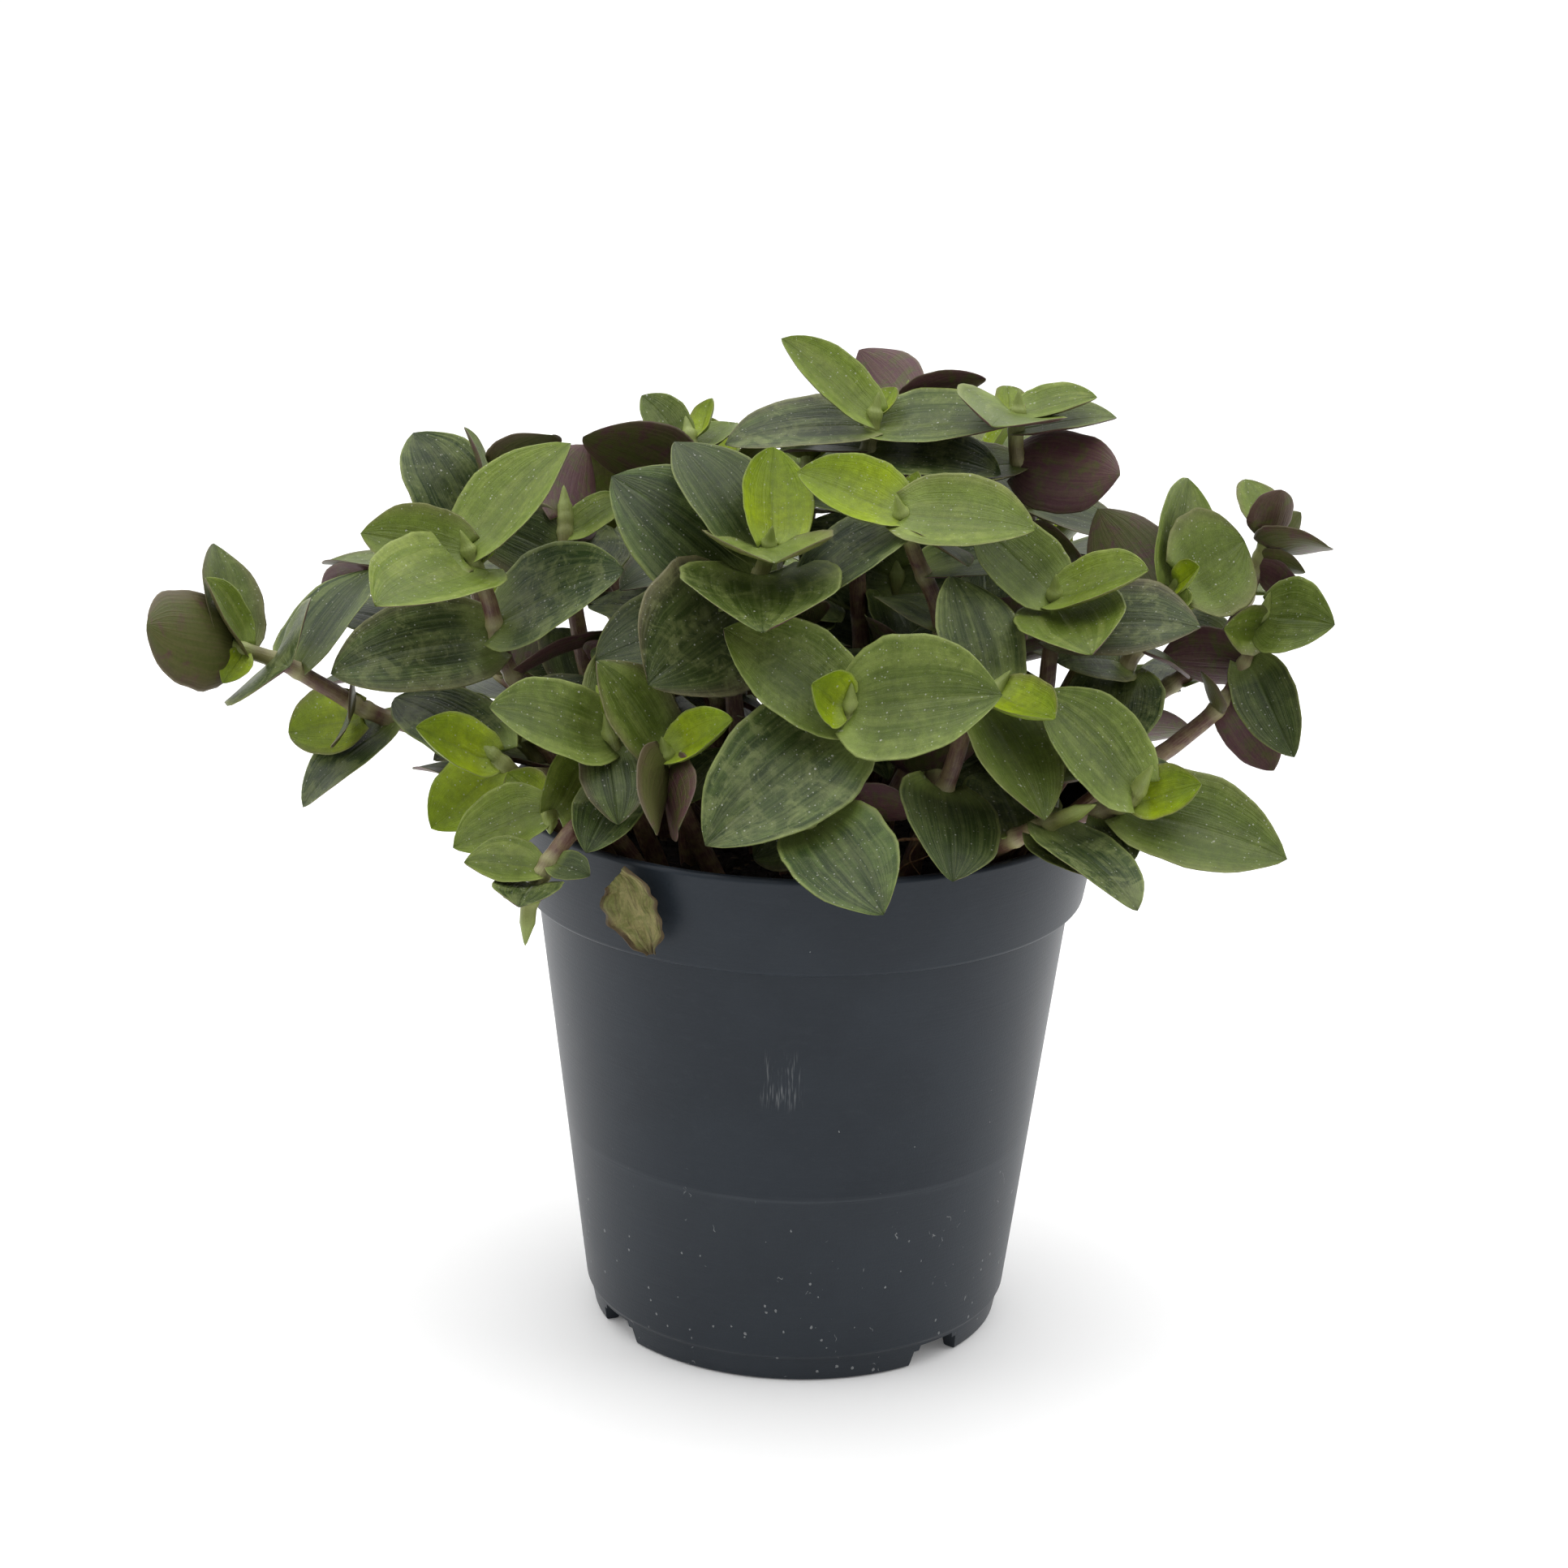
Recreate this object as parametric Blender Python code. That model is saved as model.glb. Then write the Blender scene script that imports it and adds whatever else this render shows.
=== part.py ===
"""Potted turtle vine (Callisia repens) in a round plastic nursery pot.

Units in this file are millimetres until add() turns them into metres.
X is to the right of the fullest side, -Y is the side the plant faces, +Z is up.
The pot's axis is at (AXIS_X, AXIS_Y), so that the whole plant is centred on the origin.
Each shoot grew as one piece, so its stem and its leaves are one solid. A leaf is given by its
place on the stem (mm from the root end), its heading and rise in degrees, its length and width,
its roll about its own midrib, and its youth (0 = old and dark, 1 = rolled bud).
"""
import math

import bmesh
import bpy
from mathutils import Vector
from mathutils.bvhtree import BVHTree

AXIS_X, AXIS_Y = 8.5, -8.2

# Pot: a 9 cm nursery pot
RIM_R = 45.0
POT_H = 82.8
LIP_H = 15.0
LIP_LOW_R = 42.3
WALL_TOP_R = 40.3
WALL_LOW_R = 32.5
CREASE_Z = 4.4
FOOT_R = 31.2
WALL_T = 1.1
FLOOR_Z = 5.0
FLOOR_T = 1.3
FOOT_T = 2.0
SIDES = 60
NOTCHES = (-47, -148, 122, 37)   # headings of the gaps in the foot ring
NOTCH_SPAN = 19        # degrees
DRAIN_R = 3.2
DRAIN_AT = 19.0

# Soil
SOIL_TOP = 74.6
SOIL_GAP = 0.35

# Stems and leaves
STEM_SIDES = 6
STEM_R0, STEM_R1 = 1.55, 1.15
NODE_H = 1.6           # length of stem that carries a leaf base
NODE_STEP = 2.0
BROAD = 1.1            # every leaf is this much broader than its row says
LEAF_T = 0.9
CLEAR = 0.38

# half-width of a leaf along its length, as a share of the greatest
OUTLINE = ((0.0, 0.45), (0.06, 0.78), (0.16, 0.95), (0.32, 1.0), (0.48, 0.98), (0.63, 0.88), (0.77, 0.69), (0.89, 0.41), (0.96, 0.19), (1.0, 0.0))

SHOOTS = (
    ("shoot_front_low", ((0, -32, 76), (0, -40, 86), (1, -41, 92)), (
        (17, -60, -20, 20, 14, -25, 0.2),
    )),
    ("shoot_front_middle", ((6, -27, 76), (6, -31, 95.5), (6, -33, 106)), (
        (30, -150, 36, 6.5, 7.5, 75, 0.95),
        (30, 172, 34, 21, 14.5, 40, 0.3),
        (30, -20, 12, 21.5, 17, -55, 0.3),
        (27.5, -145, -29, 26, 17.5, 50, 0.15),
        (16, -160, -42, 18, 14, 60, 0.2),
        (14, -30, 8, 10, 7, 60, 0.1),
    )),
    ("shoot_front_right", ((26, -22, 76), (30, -24.5, 83), (36.5, -27.5, 87.2), (45, -31, 91), (47.5, -33, 95.5)), (
        (30, 175, 44, 19, 14, 40, 0.3),
        (28, -20, 35, 9.5, 7.5, -65, 0.9),
        (28, -18, -5, 24, 14.5, -40, 0.3),
        (23, -60, -25, 9, 6.5, -10, 0.0),
    )),
    ("shoot_front_right_low", ((22, -27, 76), (26.5, -30, 83), (32, -34, 87.6), (38.5, -38, 92)), (
        (20, -50, -20, 19, 12, 5, 0.1),
        (18, -40, -10, 12, 9, -25, 0.05),
    )),
    ("shoot_front_right_inner", ((14, -26, 76), (20, -29, 93), (22.5, -28, 101), (27, -27, 107)), (
        (33, -30, -2, 13, 8, -20, 0.95),
        (30, -55, -40, 19, 13, 0, 0.3),
        (32, -45, -27, 17, 12, -20, 0.1),
        (33, 118, 50, 18, 13, -5, 0.2),
        (17, -85, -25, 18, 14, 5, 0.0),
    )),
    ("shoot_front_left", ((-21, -20, 76), (-26, -28, 92), (-28, -30, 100)), (
        (27, -155, 20, 18, 12, 45, 0.3),
        (27, 115, 40, 8, 5, -45, 0.95),
        (25, -80, -40, 12, 9, 0, 0.05),
        (18, -130, -43, 13, 9, 0, 0.05),
        (27, 110, 72, 19, 9.5, -30, 0.3),
    )),
    ("shoot_left_edge_low", ((-23, -25, 76), (-26.5, -29, 83), (-31, -33.5, 87.2), (-35.5, -38.5, 83), (-38, -41, 78), (-38.5, -42, 74)), (
        (31, -120, 20, 6.5, 4.5, 20, 0.95),
        (30, -115, -15, 10, 9, 0, 0.2),
        (29, -175, 8, 10, 8.5, 40, 0.35),
        (30, -30, -5, 6, 5, -30, 0.2),
    )),
    ("shoot_left_edge", ((-27, -20, 76), (-31, -23, 83), (-36, -27.5, 87), (-36, -32.5, 86.2)), (
        (19, -170, -20, 13.5, 10, 35, 0.5),
        (19, 175, 34, 8, 6, 40, 0.95),
        (18, -10, 62, 13, 9.5, -80, 0.4),
    )),
    ("shoot_left_low", ((-32, -14, 76), (-41, -16, 85.5), (-42, -21, 90), (-46, -22, 94)), (
        (27, 145, 17, 19, 13.5, 15, 0.2),
        (27, -155, 28, 12.5, 8, 50, 0.9),
        (26, -168, -42, 13, 9, 60, 0.85),
    )),
    ("shoot_front_left_inner", ((-13, -22, 76), (-18, -26, 88), (-20, -30, 97)), (
        (23, 155, 52, 16, 12, 30, 0.3),
        (23, -22, 34, 11, 8, -40, 0.85),
        (22, -104, -25, 16, 9, -110, 0.1),
        (20, -80, -18, 14, 10, 120, 0.1),
        (14, 40, 30, 12, 9, 0, 0.0),
    )),
    ("shoot_centre_left", ((-7, -7, 76), (-11, -9, 100), (-10, -10, 113), (-7, -12, 119), (-6, -14, 124)), (
        (50, 90, 47, 16, 10, -20, 0.85),
        (50, 133, 44, 22, 16, 35, 0.2),
        (41, 175, 60, 25, 18, 75, 0.0),
        (49, -85, 8, 18, 17, 0, 0.5),
        (44, -87, -4, 24, 21, 0, 0.25),
        (38, -130, -20, 23, 20, 45, 0.0),
        (35, -150, -8, 22, 15, 15, 0.1),
    )),
    ("shoot_centre", ((9, -9, 76), (19, -8, 98), (19, -8, 111), (15, -9, 121), (12.5, -12, 128.5)), (
        (56.5, 172, 20, 15.5, 11, 35, 0.75),
        (56.5, -18, 0, 19, 13, -35, 0.4),
        (56.5, 65, 60, 8, 5, 25, 1.0),
        (53.5, -135, -25, 19, 13.5, 10, 0.15),
        (51.5, -50, 0, 12, 8.5, 50, 0.1),
    )),
    ("shoot_right_upright", ((24, -8, 76), (33, -10, 94), (35, -12, 108), (35, -15, 118)), (
        (45, 165, 38, 15, 11.5, 40, 0.3),
        (45, -30, 24, 15, 10.5, -30, 0.6),
        (45, 95, 34, 5, 3.5, -40, 1.0),
        (42, -80, 12, 17, 14.5, 0, 0.35),
        (38, -22, 8, 21, 15, -30, 0.05),
    )),
    ("shoot_right_leaning", ((31, -5, 76), (42, -8, 95), (47, -8, 106), (52, -9, 115), (54, -10, 119)), (
        (49, -60, 38, 6, 4.5, -70, 0.95),
        (49, 35, 22, 12.5, 15, -62, 0.35),
        (49, 15, 70, 18.5, 13.5, -75, 0.35),
        (48, 120, 50, 17, 12, -100, 0.05),
        (47, -102, 5, 13, 10, 30, 0.45),
        (33, -145, 20, 18, 13, 35, 0.1),
        (34, -100, -30, 17, 13, 0, 0.05),
        (36, 20, -30, 9, 7, -5, 0.05),
    )),
    ("shoot_right_trailing", ((32, -10, 76), (44, -12, 87), (54, -8, 93), (61, -6, 99), (64, -4, 104), (66, -3, 108), (67, -3, 113)), (
        (53, -55, 8, 14, 11, -60, 0.3),
        (52, -110, 5, 9, 7, 60, 0.5),
        (53, 5, 42, 5.5, 4, -15, 1.0),
        (52, 0, 34, 9, 6.5, -15, 0.2),
        (45, -60, -42, 16, 8.5, -45, 0.2),
        (46, 140, -5, 13, 9.5, -70, 0.1),
        (39, -62, -33, 12, 8.5, 80, 0.1),
        (40, -135, 60, 7, 5, 20, 0.3),
    )),
    ("shoot_left_upright", ((-28, -7, 76), (-39, -9, 92), (-42, -9, 99), (-45, -8, 105), (-47, -8, 113), (-50, -9, 121)), (
        (51, -175, 12, 15, 11, 50, 0.5),
        (51, 30, 44, 21, 15, -10, 0.45),
        (51, 50, 72, 6.5, 4.5, 20, 1.0),
        (47, -135, -2, 23, 15, 5, 0.4),
        (36, -160, -8, 24, 14.5, 45, 0.0),
        (38, -22, 28, 22, 16, -42, 0.15),
    )),
    ("shoot_left_trailing", ((-27, 3, 76), (-38, 2, 85), (-53, 1, 89), (-64, -2, 93), (-72, -4, 98), (-78, -6, 102), (-86, -8, 105)), (
        (67, 110, 53, 16, 12, -40, 0.3),
        (67, 165, 45, 12, 8.5, 30, 0.5),
        (67, -125, 20, 18, 13.5, -80, 0.35),
        (66, -115, -32, 6, 4, 5, 0.8),
        (60, -77, 8, 15, 18, -50, 0.1),
        (56, 52, 38, 20, 14, 10, 0.1),
        (46, -86, 6, 12, 10.5, -75, 0.2),
        (46, -178, -10, 13, 9.5, 65, 0.9),
        (40, -118, -22, 18, 12.5, 15, 0.1),
    )),
    ("shoot_back_centre", ((4, 12, 76), (8, 10, 95), (7, 10, 114), (8, 9, 132), (9, 9, 139)), (
        (63, 175, 40, 17, 10, 30, 0.55),
        (63, 54, 35, 6, 4, -5, 1.0),
        (63, -12, 6, 20, 14, -20, 0.25),
        (60, -172, -6, 21, 13, 20, 0.15),
        (57, -20, -3, 20, 14, -18, 0.1),
        (56, 160, -6, 14, 10, 5, 0.1),
        (49, -135, 13, 14, 10, 30, 0.0),
    )),
    ("shoot_right_tall", ((19, 10, 76), (30, 9, 94), (32, 8, 115), (32, 8, 126), (30, 8, 133), (30, 8, 140)), (
        (68, -2, 15, 11, 8, -20, 0.5),
        (68, 100, 35, 6, 4.5, -5, 0.7),
        (66, -106, 4, 15, 15, 12, 0.35),
        (64, -3, 10, 14, 10, -12, 0.3),
        (59, -30, 0, 16, 12, 92, 0.05),
        (60, -156, 5, 14, 10, 5, 0.2),
        (52, -34, -13, 16, 11.5, -15, 0.1),
        (47, -47, -1, 12, 8.5, 50, 0.1),
    )),
    ("shoot_right_far", ((30, 6, 76), (41, 6, 88), (61, 6, 104), (66, 4, 117), (68, 3, 124)), (
        (63, 108, 36, 10, 7, -5, 0.5),
        (63, -70, 66, 8, 6, 15, 0.4),
        (62, -55, 13, 13, 9, 30, 0.2),
        (62, -30, -5, 7, 5, 50, 0.4),
        (60, -60, -20, 10, 7, 70, 0.2),
        (62, 20, 45, 7, 5, 78, 0.4),
    )),
    ("shoot_left_behind", ((-24, 12, 76), (-36, 12, 86), (-50, 12, 90), (-58, 11, 100), (-60, 10, 108), (-62, 10, 114)), (
        (60, 152, -5, 14, 10, 0, 0.3),
        (55, 174, 5, 17, 12, -30, 0.1),
        (39, -172, -4, 18, 12.5, -5, 0.1),
    )),
    ("shoot_left_back", ((-22, 16, 76), (-38, 16, 88), (-47, 16, 97), (-51, 16, 109), (-51, 18, 121), (-45, 21, 126)), (
        (55, 142, 46, 17, 14, 20, 0.05),
        (61, 153, 66, 9, 7, -25, 0.3),
        (65, -50, 35, 13, 9.5, 15, 0.2),
    )),
    ("shoot_left_inner", ((-17, 6, 76), (-31, 5, 92), (-36, 5, 114), (-37, 8, 124)), (
        (52, 84, 32, 16, 11.5, 130, 0.1),
        (44, 68, 26, 15, 11, -25, 0.0),
        (51, 10, 30, 10, 7, -28, 0.4),
        (47, 178, 20, 15, 11, 60, 0.0),
    )),
    ("shoot_back_left_top", ((-8, 12, 76), (-17, 12, 101), (-17, 12, 120), (-18, 13, 129), (-19, 15, 134)), (
        (53, -152, 24, 19, 12.5, -45, 0.05),
        (60, 155, 39, 9, 6.5, 40, 0.3),
        (60, 64, 44, 7, 4, 15, 1.0),
        (59, 50, 19, 9, 6.5, 0, 0.5),
        (60, 98, 31, 8, 5.5, -45, 0.7),
    )),
    ("shoot_back_top", ((10, 24, 76), (14, 24, 105), (14, 23, 124), (14, 20, 139)), (
        (63, 125, 26, 13, 10.5, -134, 0.1),
        (63, -26, 24, 13, 9, 30, 0.15),
        (64, 32, 14, 6, 4.5, -15, 0.8),
        (61, 180, 4, 17, 11, -25, 0.3),
    )),
    ("shoot_inner_back", ((14, 15, 76), (14, 15, 95), (13, 16, 113)), (
        (36, 178, 24, 16, 13, 60, 0.05),
        (36, 0, 20, 16, 13, -60, 0.05),
        (31, -90, -25, 14, 14, 0, 0.05),
        (27, 175, 0, 16, 13, 55, 0.0),
        (26, 0, 0, 16, 13, -55, 0.0),
    )),
)

# Shoots on the far side, grown by rule: name, root (heading, radius), tip (heading, radius, height), number of leaves, first heading, size
BACK_SHOOTS = (
    ("shoot_rear_1", (50, 28), (50, 40, 128), 7, 20, 1.0),
    ("shoot_rear_2", (84, 30), (82, 52, 118), 8, 60, 1.0),
    ("shoot_rear_3", (112, 24), (110, 34, 126), 7, 170, 0.95),
    ("shoot_rear_4", (128, 34), (127, 60, 112), 8, 40, 1.0),
    ("shoot_rear_5", (52, 34), (50, 62, 110), 8, 110, 1.0),
    ("shoot_rear_6", (98, 35), (97, 66, 99), 8, 10, 0.95),
    ("shoot_rear_7", (150, 33), (150, 60, 100), 7, 75, 0.9),
    ("shoot_rear_8", (26, 34), (34, 55, 96), 7, 130, 0.85),
    ("shoot_rear_9", (74, 33), (72, 57, 88), 6, 150, 0.8),
    ("shoot_rear_10", (116, 33), (116, 58, 87), 6, 95, 0.8),
    ("shoot_rear_11", (142, 20), (142, 42, 118), 7, 90, 0.9),
    ("shoot_rear_12", (36, 31), (36, 46, 122), 7, 100, 0.9),
    ("shoot_rear_13", (92, 12), (92, 22, 130), 6, 40, 0.85),
)


# Short shoots that fill the middle, low over the soil: name, root, tip, first heading, number of leaves
INNER_SHOOTS = (
    ("shoot_inner_1", (-2, -16, 76), (-1, -21, 95), 200, 4),
    ("shoot_inner_2", (16, -14, 76), (19, -18, 98), 250, 5),
    ("shoot_inner_3", (30, -15, 76), (38, -19, 97), 300, 5),
    ("shoot_inner_4", (-17, -12, 76), (-21, -17, 104), 210, 5),
    ("shoot_inner_5", (-32, -4, 76), (-44, -5, 92), 190, 4),
    ("shoot_inner_6", (24, 2, 76), (27, -1, 110), 280, 5),
    ("shoot_inner_7", (-13, 2, 76), (-15, -1, 112), 240, 5),
    ("shoot_inner_8", (-3, 4, 76), (-1, 2, 108), 275, 5),
    ("shoot_inner_9", (-21, 1, 76), (-28, -1, 102), 255, 5),
    ("shoot_inner_10", (12, 2, 76), (14, 0, 104), 215, 4),
    ("shoot_inner_11", (34, -1, 76), (41, -1, 97), 330, 4),
    ("shoot_inner_12", (-9, 17, 76), (-14, 16, 108), 200, 5),
    ("shoot_inner_13", (19, 17, 76), (23, 17, 107), 310, 5),
)


def vec(x, y, z):
    return Vector((float(x), float(y), float(z)))


def outline(t):
    for (a, u), (b, v) in zip(OUTLINE, OUTLINE[1:]):
        if t <= b:
            return u + (v - u) * (t - a) / (b - a)
    return 0.0


class Path:
    """A smooth curve through the given points, measured by length."""

    def __init__(self, points):
        p = [vec(*q) for q in points]
        p = [p[0] * 2 - p[1]] + p + [p[-1] * 2 - p[-2]]
        self.points = []
        for i in range(1, len(p) - 2):
            for k in range(8):
                t = k / 8
                a, b, c, d = p[i - 1:i + 3]
                self.points.append(0.5 * (2 * b + (c - a) * t + (2 * a - 5 * b + 4 * c - d) * t * t + (3 * b - a - 3 * c + d) * t ** 3))
        self.points.append(p[-2])
        self.at = [0.0]
        for a, b in zip(self.points, self.points[1:]):
            self.at.append(self.at[-1] + (b - a).length)
        self.length = self.at[-1]

    def place(self, s):
        s = min(max(s, 0.0), self.length)
        for i in range(1, len(self.at)):
            if s <= self.at[i]:
                break
        f = (s - self.at[i - 1]) / (self.at[i] - self.at[i - 1])
        return self.points[i - 1].lerp(self.points[i], f)

    def heading(self, s):
        return (self.place(s + 1.2) - self.place(s - 1.2)).normalized()


class Solid:
    def __init__(self):
        self.verts, self.faces = [], []

    def put(self, p):
        self.verts.append(p)
        return len(self.verts) - 1

    def tree(self):
        return BVHTree.FromPolygons([tuple(v) for v in self.verts], self.faces, all_triangles=True)


def axes(heading, rise, roll):
    a, e, r = (math.radians(v) for v in (heading, rise, roll))
    d = vec(math.cos(e) * math.cos(a), math.cos(e) * math.sin(a), math.sin(e))
    s0 = vec(-math.sin(a), math.cos(a), 0)
    n0 = d.cross(s0)
    return d, s0 * math.cos(r) - n0 * math.sin(r), n0 * math.cos(r) + s0 * math.sin(r)


def leaf_line(leaf, root, out, t):
    """Centre of the leaf at t, its half width and how far its edges are raised."""
    d, s, n, length, width, youth = leaf
    bow = 0.05 - 0.10 * youth
    lift = 0.9 * (1 - t) ** 3 * min(1.0, 8 * t)
    p = root + d * (length * t) + n * (bow * length * math.sin(math.pi * t)) + out * lift
    half = width / 2 * outline(t)
    cup = 0.17 + 0.42 * youth
    return p, half, cup * half


def leaf_rings(leaf, root, out, stops, grow=0.0):
    d, s, n, length, width, youth = leaf
    rings = []
    for t in stops:
        p, half, raised = leaf_line(leaf, root, out, t)
        half += grow
        thick = LEAF_T / 2 + grow
        rings.append([p - s * half + n * raised, p - n * thick, p + s * half + n * raised, p + n * thick])
    tip, _, _ = leaf_line(leaf, root, out, 1.0)
    return rings, tip + d * grow


def loft(solid, rings, tip):
    """Joins rings of four to each other and to the tip. The first ring is made of vertex numbers."""
    before = rings[0]
    for ring in rings[1:]:
        now = [solid.put(p) for p in ring]
        for i in range(4):
            j = (i + 1) % 4
            if i in (0, 2):      # 0 and 2 are the leaf's edges
                solid.faces += [(before[i], before[j], now[j]), (before[i], now[j], now[i])]
            else:
                solid.faces += [(before[i], before[j], now[i]), (before[j], now[j], now[i])]
        before = now
    end = solid.put(tip)
    for i in range(4):
        solid.faces.append((before[i], before[(i + 1) % 4], end))


def test_shape(leaf, root, out, start, grow):
    shape = Solid()
    stops = [start] + [t for t in (0.2, 0.36, 0.55, 0.75, 0.9) if t > start + 0.05]
    rings, tip = leaf_rings(leaf, root, out, stops, grow)
    first = [shape.put(p) for p in rings[0]]
    loft(shape, [first] + rings[1:], tip)
    shape.faces += [(first[2], first[1], first[0]), (first[3], first[2], first[0])]
    return shape


def stops_of(length):
    return (0.07, 0.26, 0.54, 0.82) if length > 12.5 else (0.08, 0.34, 0.7) if length > 7 else (0.12, 0.55)


def nudges():
    found = []
    for a in (0, 0.18, -0.18, 0.36, -0.36, 0.55, -0.55):
        for b in (0, 0.15, -0.15, 0.3, -0.3):
            for c in (0, 0.15, -0.15, 0.3, -0.3):
                for turn in (0, 15, -15, 30, -30):
                    for size in (1.0, 0.88, 0.75):
                        found.append((0.6 * abs(a) + abs(b) + abs(c) + 0.008 * abs(turn) + 1.6 * (1 - size), a, b, c, turn, size))
    found.sort(key=lambda q: q[0])
    return [q[1:] for q in found]


NUDGES = nudges()


class Shoot:
    """A stem with the faces that its leaves grow from."""

    def __init__(self, name, points):
        self.name = name
        self.path = Path(points)
        self.cells = []        # [station, {side: leaf}]
        self.leaves = []
        t = self.path.heading(0)
        self.start = t.orthogonal().normalized()

    def frame(self, s):
        """Two directions across the stem at s, without twist."""
        u = self.start.copy()
        steps = max(2, int(s / 2.0) + 1)
        for k in range(steps + 1):
            t = self.path.heading(s * k / steps)
            u = (u - t * u.dot(t)).normalized()
        return u, t.cross(u), t

    def radius(self, s):
        return STEM_R0 + (STEM_R1 - STEM_R0) * s / self.path.length

    def seat(self, s, d):
        """The free place on the stem nearest to s that faces d: cell, side, root point and outward direction."""
        top = self.path.length - NODE_H / 2 - 0.35
        s = min(s, top)
        choices = [(abs(cell[0] - s), i) for i, cell in enumerate(self.cells)]
        choices.sort()
        for gap, i in choices:
            if gap < NODE_STEP:
                cell = self.cells[i]
                side, root, out = self.side(cell[0], d)
                if all(min(abs(side - k), STEM_SIDES - abs(side - k)) >= 2 for k in cell[1]):
                    return i, cell[0], side, root, out
        low = s
        for _ in range(40):
            if all(abs(cell[0] - low) >= NODE_STEP - 1e-6 for cell in self.cells):
                side, root, out = self.side(low, d)
                return -1, low, side, root, out
            low -= 0.25
        return None

    def side(self, s, d):
        u, v, t = self.frame(s)
        across = d - t * d.dot(t)
        a = math.atan2(across.dot(v), across.dot(u)) if across.length > 1e-3 else 0.0
        side = int(math.floor(a / (2 * math.pi / STEM_SIDES))) % STEM_SIDES
        m = (side + 0.5) * 2 * math.pi / STEM_SIDES
        out = u * math.cos(m) + v * math.sin(m)
        return side, self.path.place(s) + out * (self.radius(s) * math.cos(math.pi / STEM_SIDES)), out

    def tube(self, skip=()):
        solid = Solid()
        cuts = [0.0, self.path.length]
        cells = sorted(self.cells, key=lambda c: c[0])
        for cell in cells:
            cuts += [cell[0] - NODE_H / 2, cell[0] + NODE_H / 2]
        span = 5.0
        cuts.sort()
        full = [cuts[0]]
        inside = [(c[0] - NODE_H / 2, c[0] + NODE_H / 2) for c in cells]
        for a, b in zip(cuts, cuts[1:]):
            if b - a < 0.15:
                continue
            if not any(abs(a - lo) < 1e-6 for lo, hi in inside):
                n = int((b - a) / span)
                full += [a + (b - a) * (k + 1) / (n + 1) for k in range(n)]
            full.append(b)
        rings = []
        for s in full:
            u, v, t = self.frame(s)
            p, r = self.path.place(s), self.radius(s)
            rings.append([solid.put(p + (u * math.cos(a) + v * math.sin(a)) * r) for a in (2 * math.pi * k / STEM_SIDES for k in range(STEM_SIDES))])
        doors = {}
        for k, (a, b) in enumerate(zip(full, full[1:])):
            cell = next((c for c in cells if abs(c[0] - NODE_H / 2 - a) < 0.16), None)
            for i in range(STEM_SIDES):
                j = (i + 1) % STEM_SIDES
                quad = (rings[k][i], rings[k][j], rings[k + 1][j], rings[k + 1][i])
                if cell and i in cell[1] and cell[1][i] not in skip:
                    doors[cell[1][i]] = quad
                else:
                    solid.faces += [(quad[0], quad[1], quad[2]), (quad[0], quad[2], quad[3])]
        for i in range(1, STEM_SIDES - 1):
            solid.faces.append((rings[0][0], rings[0][i + 1], rings[0][i]))
            solid.faces.append((rings[-1][0], rings[-1][i], rings[-1][i + 1]))
        return solid, doors

    def solid(self):
        solid, doors = self.tube()
        for number, (leaf, root, out) in enumerate(self.leaves):
            quad = doors[number]
            rings, tip = leaf_rings(leaf, root, out, stops_of(leaf[3]))
            first = rings[0]
            best = None
            for order in ((0, 1, 2, 3), (3, 2, 1, 0)):
                ring = [first[k] for k in order]
                # the ring must run the same way round as the quad, seen from outside
                area = sum(((ring[(k + 1) % 4] - ring[k]).cross(ring[(k + 2) % 4] - ring[k]).dot(leaf[0]) for k in range(4)))
                if area < 0:
                    continue
                for turn in range(4):
                    cost = sum((solid.verts[quad[k]] - ring[(k + turn) % 4]).length for k in range(4))
                    if best is None or cost < best[0]:
                        best = (cost, order, turn)
            _, order, turn = best
            rings = [[r[k] for k in order] for r in rings]
            start = [quad[(k - turn) % 4] for k in range(4)]
            now = [solid.put(p) for p in rings[0]]
            for i in range(4):
                j = (i + 1) % 4
                solid.faces += [(start[i], start[j], now[j]), (start[i], now[j], now[i])]
            loft(solid, [now] + rings[1:], tip)
        return solid


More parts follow.
